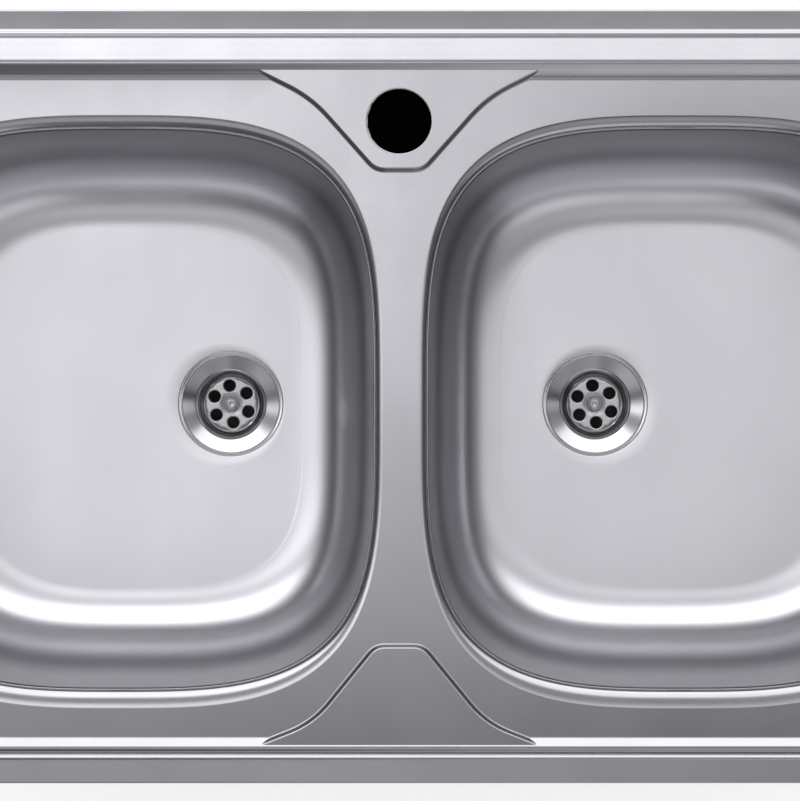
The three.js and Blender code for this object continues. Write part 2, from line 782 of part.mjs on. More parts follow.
// The claw slides along the bracket's blade and reaches out under the worktop.
function clipClaw(reach) {
  const web = -bracketDepth / 2;
  const rear = web - clawTipThickness - gap;
  const arm = clawTop - clawPlate;
  const claw = across([
    [rear, clawBottom], [clipHeadRadius, clawBottom], [clipHeadRadius + clawRamp, arm], [reach, arm],
    [reach, -clawRest], [reach - clawTipThickness, -clawRest],
    [reach - clawTipThickness, clawTop], [rear, clawTop],
  ], clawWidth);
  const track = block(
    bladeWidth + 2 * gap, [web - gap, web + bracketPlate + gap], [clawBottom - past, clawTop + past],
  );
  const bore = boreRadius(clipScrewRadius + gap, smallSteps);
  return claw.subtract(track).subtract(rod(bore, clawBottom - past, clawTop + past));
}

// The clips: two along each side of the rim, half way between its recess and the bowls' lips.
function clipPlaces() {
  const middle = (recess, margin) => (recess + margin - lipRun) / 2;
  const sideInset = middle(sideRecess, sideMargin);
  const frontInset = middle(sideRecess, frontMargin);
  const backInset = middle(backRecess, backMargin);
  const turn = Math.PI / 2;
  return [
    { x: -bowlX, y: rimHalfY - backInset, turn: 0, inset: backInset },
    { x: bowlX, y: rimHalfY - backInset, turn: 0, inset: backInset },
    { x: rimHalfX - sideInset, y: bowlY + clipSpacingY, turn: -turn, inset: sideInset },
    { x: rimHalfX - sideInset, y: bowlY - clipSpacingY, turn: -turn, inset: sideInset },
    { x: bowlX, y: -rimHalfY + frontInset, turn: 2 * turn, inset: frontInset },
    { x: -bowlX, y: -rimHalfY + frontInset, turn: 2 * turn, inset: frontInset },
    { x: -rimHalfX + sideInset, y: bowlY - clipSpacingY, turn, inset: sideInset },
    { x: -rimHalfX + sideInset, y: bowlY + clipSpacingY, turn, inset: sideInset },
  ];
}

// ---- Materials -------------------------------------------------------------------------

function finish(color, roughness, metalness) {
  return new THREE.MeshStandardMaterial({ color, roughness, metalness });
}

const satinSteel = finish(0xb9bac0, 0.36, 1);
const polishedSteel = finish(0xc6c7cb, 0.22, 1);
const zincPlate = finish(0xa9adb2, 0.42, 1);
const whitePlastic = finish(0xe4e4e0, 0.45, 0);
const brass = finish(0xb08d4a, 0.35, 1);
const blackRubber = finish(0x1d1d1f, 0.8, 0);
const greyFoam = finish(0x6e6f72, 0.95, 0);
const bitumen = finish(0x2e2d2c, 0.9, 0);

// ---- Assembly --------------------------------------------------------------------------

const group = new THREE.Group();

function piece(parent, name, body, material) {
  const mesh = new THREE.Mesh(geometryOf(body), material);
  mesh.name = name;
  parent.add(mesh);
}

piece(group, 'deck', deck(), satinSteel);
piece(group, 'rim_seal', rimSeal(), greyFoam);
piece(group, 'tap_stiffener', tapStiffener(), zincPlate);

for (const [side, name] of [[-1, 'left'], [1, 'right']]) {
  piece(group, `${name}_bowl`, bowl(side), satinSteel);
  piece(group, `${name}_sound_pad`, soundPad(side), bitumen);

  const waste = new THREE.Group();
  const centre = drainCentre(side);
  waste.position.set(centre.x, centre.y, 0);
  group.add(waste);
  piece(waste, `${name}_strainer_cup`, strainerCup(), polishedSteel);
  piece(waste, `${name}_strainer_screw`, strainerScrew(), polishedSteel);
  piece(waste, `${name}_top_seal`, topSeal(), blackRubber);
  piece(waste, `${name}_base_gasket`, baseGasket(), blackRubber);
  piece(waste, `${name}_waste_body`, wasteBody(), whitePlastic);
  piece(waste, `${name}_threaded_insert`, threadedInsert(), brass);
  piece(waste, `${name}_coupling_nut`, couplingNut(), whitePlastic);
  piece(waste, `${name}_cone_washer`, coneWasher(), blackRubber);
}

clipPlaces().forEach((place, i) => {
  const clip = new THREE.Group();
  clip.position.set(place.x, place.y, 0);
  clip.rotation.z = place.turn;
  group.add(clip);
  piece(clip, `clip_bracket_${i + 1}`, clipBracket(), zincPlate);
  piece(clip, `clip_screw_${i + 1}`, clipScrew(), zincPlate);
  piece(clip, `clip_claw_${i + 1}`, clipClaw(place.inset - worktopOverlap), zincPlate);
});

export default group;
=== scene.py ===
"""Double bowl kitchen sink of satin steel, seen straight from above: the fine model round the CAD frame.

Sizes are in millimetres unless a name says otherwise, and meshes are written in metres. +X is right, +Y is
the back, where the tap goes, and the origin is the centre of the rim on the worktop's top face.
"""
import logging
import math
from collections.abc import Callable, Sequence
from dataclasses import dataclass, field, replace
from enum import Enum

import bpy
import numpy as np
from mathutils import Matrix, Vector
from mathutils.geometry import delaunay_2d_cdt


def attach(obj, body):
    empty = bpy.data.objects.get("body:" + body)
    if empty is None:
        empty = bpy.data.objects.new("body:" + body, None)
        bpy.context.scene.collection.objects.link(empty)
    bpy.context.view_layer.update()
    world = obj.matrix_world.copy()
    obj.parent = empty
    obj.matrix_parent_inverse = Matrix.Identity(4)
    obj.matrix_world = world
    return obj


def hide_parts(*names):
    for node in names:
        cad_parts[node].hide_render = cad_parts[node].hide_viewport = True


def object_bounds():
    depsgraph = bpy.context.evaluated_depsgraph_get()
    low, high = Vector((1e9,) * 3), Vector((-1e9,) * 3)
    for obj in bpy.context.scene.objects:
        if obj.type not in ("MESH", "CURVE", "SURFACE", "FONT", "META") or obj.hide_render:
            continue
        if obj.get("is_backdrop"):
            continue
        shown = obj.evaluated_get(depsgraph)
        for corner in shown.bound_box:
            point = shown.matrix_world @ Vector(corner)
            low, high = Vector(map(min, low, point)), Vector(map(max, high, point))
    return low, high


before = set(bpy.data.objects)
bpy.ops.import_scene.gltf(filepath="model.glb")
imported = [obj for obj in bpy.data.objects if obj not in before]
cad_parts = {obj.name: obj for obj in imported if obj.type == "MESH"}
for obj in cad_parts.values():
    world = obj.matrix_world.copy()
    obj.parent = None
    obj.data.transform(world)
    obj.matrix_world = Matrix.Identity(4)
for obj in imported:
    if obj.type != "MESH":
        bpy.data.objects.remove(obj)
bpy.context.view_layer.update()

MM = 0.001
log = logging.getLogger("sink")


# ---- Numbers and lines -----------------------------------------------------------------

# The most of a stretch that a round takes, and how far beyond it lies the point that keeps the rest flat.
ROUND_SHARE = 0.44
GUARD_REACH = 0.3
GUARD_SHARE = 0.04


class Side(Enum):
    """The two halves of the sink."""

    LEFT = -1
    RIGHT = 1


class End(Enum):
    """The two long sides of the rim."""

    FRONT = -1
    BACK = 1


def smoothstep(value: np.ndarray | float) -> np.ndarray | float:
    """Eases a share from 0 to 1, level at both ends."""
    share = np.clip(value, 0.0, 1.0)
    return share * share * (3.0 - 2.0 * share)


def lerp(first: np.ndarray | float, second: np.ndarray | float, share: float) -> np.ndarray | float:
    """The value at a share of the way from first to second."""
    return first + (second - first) * share


def round_angles(count: int) -> np.ndarray:
    """The angles of evenly spaced points round a circle."""
    return np.arange(count) / count * 2.0 * math.pi


def on_circle(angles: np.ndarray) -> np.ndarray:
    """The points of the unit circle at those angles, one row each."""
    return np.column_stack([np.cos(angles), np.sin(angles)])


def rounded(line: Sequence[Sequence[float]], reach: float | Sequence[float], steps: int) -> np.ndarray:
    """Rounds every inner corner of an open line, with a point beyond each round that keeps the rest flat.

    Args:
        line: The points of the line.
        reach: How far from a corner its round starts, for all corners or for each one.
        steps: How many stretches each round has.

    Returns:
        The points of the rounded line, one row each.
    """
    points = np.array(line, float)
    reaches = np.broadcast_to(reach, len(points) - 2)
    made = [points[0]]
    for before, corner, after, limit in zip(points[:-2], points[1:-1], points[2:], reaches):
        ends, guards = [], []
        for other in (before, after):
            length = np.linalg.norm(other - corner)
            share = min(ROUND_SHARE, limit / length)
            ends.append(lerp(corner, other, share))
            guards.append(lerp(corner, other, share + min(GUARD_REACH / length, GUARD_SHARE)))
        made.append(guards[0])
        for i in range(steps + 1):
            share = i / steps
            made.append(lerp(lerp(ends[0], corner, share), lerp(corner, ends[1], share), share))
        made.append(guards[1])
    made.append(points[-1])
    return np.array(made)


def beside(line: np.ndarray, distance: float) -> np.ndarray:
    """The points of an open line moved sideways by a distance, to the right of its direction.

    Args:
        line: The points, one row each.
        distance: How far they move.

    Returns:
        The moved points.
    """
    along = np.gradient(line, axis=0)
    along /= np.linalg.norm(along, axis=1, keepdims=True)
    return line + distance * np.column_stack([along[:, 1], -along[:, 0]])


def distance_to_line(points: np.ndarray, line: np.ndarray) -> np.ndarray:
    """The distance of each point from an open line, both in the plane.

    Args:
        points: The points, one row each.
        line: The line's points.

    Returns:
        One distance for each point.
    """
    starts, spans = line[:-1], np.diff(line, axis=0)
    lengths = (spans**2).sum(axis=1)
    nearest = np.full(len(points), np.inf)
    for start, span, length in zip(starts, spans, lengths):
        share = np.clip(((points - start) @ span) / length, 0.0, 1.0)
        nearest = np.minimum(nearest, np.linalg.norm(points - start - share[:, None] * span, axis=1))
    return nearest


def inside(points: np.ndarray, outline: np.ndarray) -> np.ndarray:
    """Which points lie in a closed outline, by the number of its edges to their right.

    Args:
        points: The points, one row each.
        outline: The outline's points.

    Returns:
        One truth for each point.
    """
    found = np.zeros(len(points), bool)
    for (x0, y0), (x1, y1) in zip(outline, np.roll(outline, -1, axis=0)):
        crosses = (y0 > points[:, 1]) != (y1 > points[:, 1])
        if y1 != y0:
            found ^= crosses & (points[:, 0] < (x1 - x0) * (points[:, 1] - y0) / (y1 - y0) + x0)
    return found


# ---- Meshes ----------------------------------------------------------------------------


def mesh_object(
    name: str, vertices: np.ndarray, faces: Sequence[Sequence[int]], material: bpy.types.Material
) -> bpy.types.Object:
    """A smooth mesh object at the origin.

    Args:
        name: The piece's name.
        vertices: One row of millimetres each.
        faces: The corners of each face, by index.
        material: What the piece is made of.

    Returns:
        The object, linked to the scene.
    """
    mesh = bpy.data.meshes.new(name)
    mesh.from_pydata((np.asarray(vertices, float) * MM).tolist(), [], [list(face) for face in faces])
    mesh.validate()
    mesh.shade_smooth()
    mesh.materials.append(material)
    made = bpy.data.objects.new(name, mesh)
    bpy.context.scene.collection.objects.link(made)
    return made


def strips(loops: int, count: int, first: int = 0, closed: bool = True) -> list[tuple[int, ...]]:
    """The four-sided faces between loops of equal length whose vertices follow each other.

    Args:
        loops: How many loops there are.
        count: How many vertices each loop has.
        first: The index of the first loop's first vertex.
        closed: Whether each loop closes on itself.

    Returns:
        The faces.
    """
    faces = []
    for band in range(loops - 1):
        low, high = first + band * count, first + (band + 1) * count
        for i in range(count if closed else count - 1):
            after = (i + 1) % count
            faces.append((low + i, low + after, high + after, high + i))
    return faces


Swell = Callable[[np.ndarray, np.ndarray, np.ndarray], np.ndarray]
THREAD_FLAT = 0.15
SAME_RADIUS = 0.01
ON_AXIS = 1e-6


def thread(crest: float, depth: float, pitch: float, low: float, high: float) -> Swell:
    """The swell of a right-hand thread that is cut into a round between two heights.

    Args:
        crest: The radius of the round.
        depth: How deep the thread is.
        pitch: The height of one turn.
        low: Where the thread starts.
        high: Where it ends.

    Returns:
        What the thread adds to a radius.
    """

    def swell(radius: np.ndarray, angle: np.ndarray, z: np.ndarray) -> np.ndarray:
        """Cuts the valley between the ridges, and fades it at both ends.

        Args:
            radius: The radius of each vertex.
            angle: Its angle.
            z: Its height.

        Returns:
            What is added to each radius.
        """
        valley = 1.0 - np.abs((z / pitch - angle / (2.0 * math.pi)) % 1.0 * 2.0 - 1.0)
        valley = np.clip((valley - THREAD_FLAT) / (1.0 - 2.0 * THREAD_FLAT), 0.0, 1.0)
        ends = smoothstep((z - low) / pitch) * smoothstep((high - z) / pitch)
        return -depth * valley * ends * (np.abs(radius - crest) < SAME_RADIUS)

    return swell


def turned(
    name: str,
    profile: Sequence[Sequence[float]],
    centre: tuple[float, float],
    material: bpy.types.Material,
    steps: int = 96,
    swell: Swell | None = None,
) -> bpy.types.Object:
    """A turned piece about a vertical axis.

    Args:
        name: The piece's name.
        profile: [radius, z] points with the outside on their right. Ends on the axis close as poles,
            and a profile off the axis closes on itself.
        centre: The axis, in X and Y.
        material: What the piece is made of.
        steps: How many stretches a round has.
        swell: What is added to the radius, by radius, angle and height.

    Returns:
        The object.
    """
    line = np.array(profile, float)
    poles = [bool(line[end][0] < ON_AXIS) for end in (0, -1)]
    rings = line[(1 if poles[0] else 0) : (len(line) - 1 if poles[1] else len(line))]
    if not any(poles):
        rings = np.vstack([rings, rings[:1]])
    angles = round_angles(steps)
    circle = np.column_stack([on_circle(angles), np.zeros(steps)])
    vertices = np.vstack([circle * radius + [0, 0, z] for radius, z in rings])
    if swell is not None:
        radii = np.repeat(rings[:, 0], steps)
        vertices[:, :2] *= (1.0 + swell(radii, np.tile(angles, len(rings)), vertices[:, 2]) / radii)[:, None]
    faces = strips(len(rings), steps)
    if not any(poles):
        last = (len(rings) - 1) * steps
        faces = [tuple(i % last for i in face) for face in faces]
        vertices = vertices[:last]
    for end, at_end in enumerate(poles):
        if at_end:
            ring = end * (len(rings) - 1) * steps
            pole = len(vertices)
            vertices = np.vstack([vertices, [0, 0, line[-end][1]]])
            for i in range(steps):
                face = (pole, ring + (i + 1) % steps, ring + i)
                faces.append(face if end == 0 else face[::-1])
    return mesh_object(name, vertices + [*centre, 0.0], faces, material)


def turned_skin(
    name: str,
    profile: np.ndarray,
    centre: tuple[float, float],
    material: bpy.types.Material,
    steps: int = 128,
) -> bpy.types.Object:
    """An open turned skin whose faces point up or in, for a wall to be added behind it.

    Args:
        name: The piece's name.
        profile: [radius, z] points.
        centre: The axis, in X and Y.
        material: What the piece is made of.
        steps: How many stretches a round has.

    Returns:
        The object.
    """
    circle = np.column_stack([on_circle(round_angles(steps)), np.zeros(steps)])
    vertices = np.vstack([circle * radius + [*centre, z] for radius, z in profile])
    faces = [face[::-1] for face in strips(len(profile), steps)]
    return mesh_object(name, vertices, faces, material)


def plain_mesh(made: bpy.types.Object) -> bpy.types.Object:
    """Puts the mesh that an object's modifiers make in their place.

    Args:
        made: The object.

    Returns:
        The same object, without modifiers.
    """
    graph = bpy.context.evaluated_depsgraph_get()
    mesh = bpy.data.meshes.new_from_object(
        made.evaluated_get(graph), preserve_all_data_layers=True, depsgraph=graph
    )
    made.modifiers.clear()
    made.data = mesh
    return made


def seat(made: bpy.types.Object, body: str, slot: str, *nodes: str) -> bpy.types.Object:
    """Lets a piece ride on a body and stand for CAD nodes.

    Args:
        made: The piece.
        body: The body.
        slot: Not used.
        *nodes: The nodes that it replaces.

    Returns:
        The piece.
    """
    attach(made, body)
    if nodes:
        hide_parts(*nodes)
    log.info("%s: %d faces", made.name, len(made.data.polygons))
    return made


# ---- Node trees ------------------------------------------------------------------------


class Field:
    """A number in a node tree, for use in formulas.

    Attributes:
        tree: The tree that the number is in.
        socket: Where the number comes out.
    """

    def __init__(self, tree: bpy.types.NodeTree, socket: bpy.types.NodeSocket) -> None:
        """Keeps the tree and the socket."""
        self.tree = tree
        self.socket = socket

    def math(self, operation: str, *others: "Field | float") -> "Field":
        """The result of a Math node on this number and others.

        Args:
            operation: The node's operation.
            *others: What its other inputs take.

        Returns:
            The result.
        """
        node = self.tree.nodes.new("ShaderNodeMath")
        node.operation = operation
        for place, value in enumerate((self, *others)):
            if isinstance(value, Field):
                self.tree.links.new(value.socket, node.inputs[place])
            else:
                node.inputs[place].default_value = value
        return Field(self.tree, node.outputs[0])

    def __add__(self, other: "Field | float") -> "Field":
        """The sum."""
        return self.math("ADD", other)

    def __sub__(self, other: "Field | float") -> "Field":
        """The difference."""
        return self.math("SUBTRACT", other)

    def __mul__(self, other: "Field | float") -> "Field":
        """The product."""
        return self.math("MULTIPLY", other)

    def __truediv__(self, other: "Field | float") -> "Field":
        """The quotient."""
        return self.math("DIVIDE", other)

    def window(self, low: "Field | float", high: "Field | float") -> "Field":
        """The share of the way from low to high, kept from 0 to 1."""
        share = (self - low) / (high - low)
        return share.math("MAXIMUM", 0.0).math("MINIMUM", 1.0)

    def eased(self, low: "Field | float", high: "Field | float") -> "Field":
        """The share of the way from low to high, level at both ends."""
        share = self.window(low, high)
        return share * share * ((share * -2.0) + 3.0)

    def towards(self, other: "Field", share: "Field") -> "Field":
        """The value at a share of the way to another."""
        return self + (other - self) * share


# How near points of a tree's mesh are joined, in metres: along a seam, and between turned copies.
SEAM_JOIN = 5e-6
COPY_JOIN = 2e-5


class NodeTree:
    """A geometry node tree with named inputs that ends in Realize Instances and Set Material.

    Attributes:
        group: The tree itself.
    """

    def __init__(self, name: str) -> None:
        """Starts a tree that takes a geometry and gives one.

        Args:
            name: The tree's name.
        """
        self.group = bpy.data.node_groups.new(name, "GeometryNodeTree")
        self.group.interface.new_socket("Geometry", in_out="INPUT", socket_type="NodeSocketGeometry")
        self.group.interface.new_socket("Geometry", in_out="OUTPUT", socket_type="NodeSocketGeometry")
        self._entry = self.group.nodes.new("NodeGroupInput")
        self._identifiers: dict[str, str] = {}

    def number(self, name: str, kind: str = "NodeSocketFloat") -> Field:
        """Adds a named input and gives it as a field.

        Args:
            name: The input's name.
            kind: Its socket's type.

        Returns:
            The input.
        """
        item = self.group.interface.new_socket(name, in_out="INPUT", socket_type=kind)
        self._identifiers[name] = item.identifier
        socket = next(s for s in self._entry.outputs if s.identifier == item.identifier)
        return Field(self.group, socket)

    def entry(self) -> bpy.types.NodeSocket:
        """The geometry of the object that the tree is on."""
        return self._entry.outputs[0]

    def node(self, kind: str, **links: object) -> bpy.types.Node:
        """Adds a node.

        Args:
            kind: The node's type.
            **links: What its inputs take, by their names with _ for a space: a socket, a Field, a node
                whose first output is taken, or a plain value.

        Returns:
            The node.
        """
        node = self.group.nodes.new(kind)
        for name, value in links.items():
            socket = node.inputs[name.replace("_", " ")]
            if isinstance(value, bpy.types.Node):
                value = value.outputs[0]
            if isinstance(value, Field):
                value = value.socket
            if isinstance(value, bpy.types.NodeSocket):
                self.group.links.new(value, socket)
            else:
                socket.default_value = value
        return node

    def vector(self, x: Field | float, y: Field | float, z: Field | float) -> bpy.types.Node:
        """A vector from three numbers."""
        return self.node("ShaderNodeCombineXYZ", X=x, Y=y, Z=z)

    def position(self) -> tuple[Field, Field, Field]:
        """The place of each vertex, as three fields."""
        apart = self.node("ShaderNodeSeparateXYZ", Vector=self.group.nodes.new("GeometryNodeInputPosition"))
        return tuple(Field(self.group, output) for output in apart.outputs)

    def close(self, geometry: bpy.types.Node | bpy.types.NodeSocket) -> None:
        """Ends the tree: instances are made real and take the material input.

        Args:
            geometry: What the tree has made.
        """
        material = self.number("Material", "NodeSocketMaterial")
        real = self.node("GeometryNodeRealizeInstances", Geometry=geometry)
        smooth = self.node("GeometryNodeSetShadeSmooth", Geometry=real)
        dressed = self.node("GeometryNodeSetMaterial", Geometry=smooth, Material=material)
        leave = self.group.nodes.new("NodeGroupOutput")
        self.group.links.new(dressed.outputs[0], leave.inputs[0])

    def grow(self, name: str, start: bpy.types.Mesh | None = None, **values: object) -> bpy.types.Object:
        """Makes a piece by the tree.

        Args:
            name: The piece's name.
            start: The mesh that the tree starts from, if any.
            **values: The inputs' values, by their names with _ for a space.

        Returns:
            An object with the tree as its first modifier, still live.
        """
        made = bpy.data.objects.new(name, start or bpy.data.meshes.new(name))
        bpy.context.scene.collection.objects.link(made)
        modifier = made.modifiers.new("shape", "NODES")
        modifier.node_group = self.group
        for key, value in values.items():
            modifier[self._identifiers[key.replace("_", " ")]] = value
        return made


def with_wall(made: bpy.types.Object, thickness: float) -> bpy.types.Object:
    """Gives a skin its thickness behind its faces, in millimetres, as a plain mesh.

    Args:
        made: The skin.
        thickness: Its gauge.

    Returns:
        The same object.
    """
    wall = made.modifiers.new("wall", "SOLIDIFY")
    wall.thickness = thickness * MM
    wall.offset = -1.0
    wall.use_quality_normals = True
    return plain_mesh(made)


# ---- Finishes --------------------------------------------------------------------------


def shader_group(
    name: str, inputs: dict[str, float], outputs: Sequence[str], fill: Callable[..., None]
) -> bpy.types.NodeTree:
    """A shader node group with number inputs and outputs, built once.

    Args:
        name: The group's name.
        inputs: The named inputs and their usual values.
        outputs: The names of the outputs.
        fill: Called with the group, its input fields and the output node's sockets.

    Returns:
        The group.
    """
    if name in bpy.data.node_groups:
        return bpy.data.node_groups[name]
    group = bpy.data.node_groups.new(name, "ShaderNodeTree")
    for key, value in inputs.items():
        group.interface.new_socket(key, in_out="INPUT", socket_type="NodeSocketFloat").default_value = value
    for key in outputs:
        group.interface.new_socket(key, in_out="OUTPUT", socket_type="NodeSocketFloat")
    entry, leave = group.nodes.new("NodeGroupInput"), group.nodes.new("NodeGroupOutput")
    fields = {key: Field(group, entry.outputs[key]) for key in inputs}
    fill(group, fields, leave.inputs)
    return group


def noise(
    tree: bpy.types.NodeTree,
    scale: Field | float,
    detail: float,
    stretch: tuple[float, float, float] = (1.0, 1.0, 1.0),
) -> Field:
    """A noise on Object coordinates, from 0 to 1.

    Args:
        tree: The shader tree.
        scale: How fine it is, in marks to the metre.
        detail: How many finer layers it has.
        stretch: How the coordinates are scaled first.

    Returns:
        The noise.
    """
    place = tree.nodes.new("ShaderNodeTexCoord")
    mapping = tree.nodes.new("ShaderNodeMapping")
    mapping.inputs["Scale"].default_value = stretch
    node = tree.nodes.new("ShaderNodeTexNoise")
    node.inputs["Detail"].default_value = detail
    tree.links.new(place.outputs["Object"], mapping.inputs["Vector"])
    tree.links.new(mapping.outputs[0], node.inputs["Vector"])
    if isinstance(scale, Field):
        tree.links.new(scale.socket, node.inputs["Scale"])
    else:
        node.inputs["Scale"].default_value = scale
    return Field(tree, node.outputs["Fac"])


def grain_group() -> bpy.types.NodeTree:
    """Fine grain: a height and a mask, crossed by a coarser one.

    Returns:
        The group, with inputs Scale and Depth.
    """

    def fill(tree: bpy.types.NodeTree, fields: dict[str, Field], leave: Sequence) -> None:
        """Two noises of different fineness.

        Args:
            tree: The group.
            fields: Its inputs.
            leave: Its outputs' sockets.
        """
        fine = noise(tree, fields["Scale"], 2.0)
        coarse = noise(tree, fields["Scale"] * 0.31, 2.0)
        both = fine * 0.7 + coarse * 0.3
        tree.links.new((both * fields["Depth"]).socket, leave["Height"])
        tree.links.new(both.eased(0.3, 0.7).socket, leave["Mask"])

    return shader_group("fine_grain", {"Scale": 2400.0, "Depth": 1.0}, ["Height", "Mask"], fill)


def smudge_group() -> bpy.types.NodeTree:
    """Broad soft marks of cleaning and drying water.

    Returns:
        The group, with the input Scale.
    """

    def fill(tree: bpy.types.NodeTree, fields: dict[str, Field], leave: Sequence) -> None:
        """A broad noise with a finer one in it.

        Args:
            tree: The group.
            fields: Its inputs.
            leave: Its outputs' sockets.
        """
        broad = noise(tree, fields["Scale"], 3.0)
        streaks = noise(tree, fields["Scale"] * 2.3, 2.0, (1.0, 0.25, 0.6))
        tree.links.new((broad * 0.6 + streaks * 0.4).eased(0.35, 0.65).socket, leave["Mask"])

    return shader_group("soft_smudges", {"Scale": 9.0}, ["Mask"], fill)


def edge_group() -> bpy.types.NodeTree:
    """Edges that handling has polished, from how pointed the surface is.

    Returns:
        The group, with the input Start.
    """

    def fill(tree: bpy.types.NodeTree, fields: dict[str, Field], leave: Sequence) -> None:
        """Pointiness above the flat's, broken by noise.

        Args:
            tree: The group.
            fields: Its inputs.
            leave: Its outputs' sockets.
        """
        form = tree.nodes.new("ShaderNodeNewGeometry")
        pointed = Field(tree, form.outputs["Pointiness"])
        broken = noise(tree, 90.0, 3.0) * 0.5 + 0.75
        start = fields["Start"]
        mask = pointed.window(start, start + 0.06) * broken
        tree.links.new(mask.math("MINIMUM", 1.0).socket, leave["Mask"])

    return shader_group("edge_polish", {"Start": 0.52}, ["Mask"], fill)


class Surface:
    """A material under construction: a Principled shader and what feeds it.

    Attributes:
        material: The material.
        tree: Its node tree.
        shader: Its Principled shader.
    """

    def __init__(self, name: str) -> None:
        """Starts a material.

        Args:
            name: The material's name.
        """
        self.material = bpy.data.materials.new(name)
        self.material.use_nodes = True
        self.tree = self.material.node_tree
        self.shader = self.tree.nodes["Principled BSDF"]

    def set(self, **values: object) -> None:
        """Sets uniform values on the shader's own sockets, by their names with _ for a space."""
        for key, value in values.items():
            self.shader.inputs[key.replace("_", " ")].default_value = value

    def place(self, group: bpy.types.NodeTree, output: str, **values: float) -> Field:
        """Places a shared group with its own values and gives one of its outputs.

        Args:
            group: The group.
            output: The output's name.
            **values: Its inputs, by their names.

        Returns:
            The output.
        """
        node = self.tree.nodes.new("ShaderNodeGroup")
        node.node_tree = group
        for key, value in values.items():
            node.inputs[key].default_value = value
        return Field(self.tree, node.outputs[output])

    def place_in_object(self) -> tuple[Field, Field, Field]:
        """The Object coordinates, as three fields.

        Returns:
            X, Y and Z in metres.
        """
        place = self.tree.nodes.new("ShaderNodeTexCoord")
        apart = self.tree.nodes.new("ShaderNodeSeparateXYZ")
        self.tree.links.new(place.outputs["Object"], apart.inputs[0])
        return tuple(Field(self.tree, output) for output in apart.outputs)

    def colours(self, *stops: tuple[tuple[float, float, float], "Field | None"]) -> None:
        """Feeds Base Color: the first colour, covered by each next one where its mask says.

        Args:
            *stops: Pairs of a colour and its mask, which the first one has none of.
        """
        under = None
        for colour, mask in stops:
            if under is None:
                under = colour
                continue
            mix = self.tree.nodes.new("ShaderNodeMix")
            mix.data_type = "RGBA"
            if isinstance(under, tuple):
                mix.inputs["A"].default_value = (*under, 1.0)
            else:
                self.tree.links.new(under, mix.inputs["A"])
            mix.inputs["B"].default_value = (*colour, 1.0)
            self.tree.links.new(mask.socket, mix.inputs["Factor"])
            under = mix.outputs["Result"]
        self.tree.links.new(under, self.shader.inputs["Base Color"])

    def feed(self, socket: str, value: Field) -> None:
        """Feeds one of the shader's inputs."""
        self.tree.links.new(value.socket, self.shader.inputs[socket])

    def bump(self, height: Field, distance_mm: float) -> None:
        """Feeds Normal by a bump of that height.

        Args:
            height: The height, from 0 to 1.
            distance_mm: How high a height of 1 is.
        """
        node = self.tree.nodes.new("ShaderNodeBump")
        node.inputs["Distance"].default_value = distance_mm * MM
        self.tree.links.new(height.socket, node.inputs["Height"])
        self.tree.links.new(node.outputs["Normal"], self.shader.inputs["Normal"])


# How much smoother handling leaves an edge, and the painted highlight round a hole: the bright band's colour,
# width and added roughness.
EDGE_SMOOTHING = 0.08
HOLE_HIGHLIGHT_COLOUR = (0.97, 0.97, 0.97)
HOLE_HIGHLIGHT_WIDTH = 0.9
HOLE_HIGHLIGHT_ROUGHNESS = 0.5


@dataclass(frozen=True)
class Steel:
    """A metal finish.

    Attributes:
        name: The finish's name.
        colour: Its reflecting colour.
        worn: The colour where cleaning has dulled it.
        roughness: Its usual roughness.
        spread: How much the roughness varies.
        grain: Grains to the metre.
        grain_depth: Depth of the grain in millimetres.
        drawn: A painted shade: a darker colour for walls, which starts at the first height of shade_z and is
            full past the second.
        shade_z: The heights in millimetres where that painted shade starts and is full.
        top_shade: A painted shade: a still darker colour for walls towards the top.
        top_shade_z: The heights in millimetres where that painted shade starts and is full.
        ring: The middle and radius in millimetres of a hole round which a bright band is painted as a
            highlight.
        bright: The colour of edges that handling has polished.
    """

    name: str
    colour: tuple[float, float, float]
    worn: tuple[float, float, float]
    roughness: float
    spread: float
    grain: float
    grain_depth: float
    drawn: tuple[float, float, float] | None = None
    shade_z: tuple[float, float] = (0.0, 0.0)
    top_shade: tuple[float, float, float] | None = None
    top_shade_z: tuple[float, float] = (-70.0, -12.0)
    ring: tuple[float, float, float] | None = None
    bright: tuple[float, float, float] | None = None

    def material(self) -> bpy.types.Material:
        """The finish as a material, made once.

        Returns:
            The material.
        """
        if self.name in bpy.data.materials:
            return bpy.data.materials[self.name]
        surface = Surface(self.name)
        surface.set(Metallic=1.0)
        grain = surface.place(grain_group(), "Mask", Scale=self.grain)
        height = surface.place(grain_group(), "Height", Scale=self.grain)
        smudge = surface.place(smudge_group(), "Mask")
        rough = (grain - 0.5) * self.spread + (smudge - 0.5) * (self.spread * 0.6) + self.roughness
        covers = [(self.colour, None), (self.worn, smudge * 0.5)]
        x, y, z = surface.place_in_object()
        # Painted shade: walls take a darker colour between two heights, and a darker one still towards their
        # top.
        if self.drawn:
            covers.append((self.drawn, z.eased(*(height * MM for height in self.shade_z))))
        if self.top_shade:
            covers.append((self.top_shade, z.eased(*(height * MM for height in self.top_shade_z))))
        if self.bright:
            edge = surface.place(edge_group(), "Mask")
            covers.append((self.bright, edge))
            rough = rough - edge * EDGE_SMOOTHING
        # Painted highlight: a bright band round the hole's edge, which is also rougher.
        if self.ring:
            middle_x, middle_y, radius = (size * MM for size in self.ring)
            off_x, off_y = x - middle_x, y - middle_y
            away = (off_x * off_x + off_y * off_y).math("SQRT")
            cut = away.window(radius + HOLE_HIGHLIGHT_WIDTH * MM, radius)
            covers.append((HOLE_HIGHLIGHT_COLOUR, cut))
            rough = rough + cut * HOLE_HIGHLIGHT_ROUGHNESS
        surface.colours(*covers)
        surface.feed("Roughness", rough)
        surface.bump(height, self.grain_depth)
        return surface.material


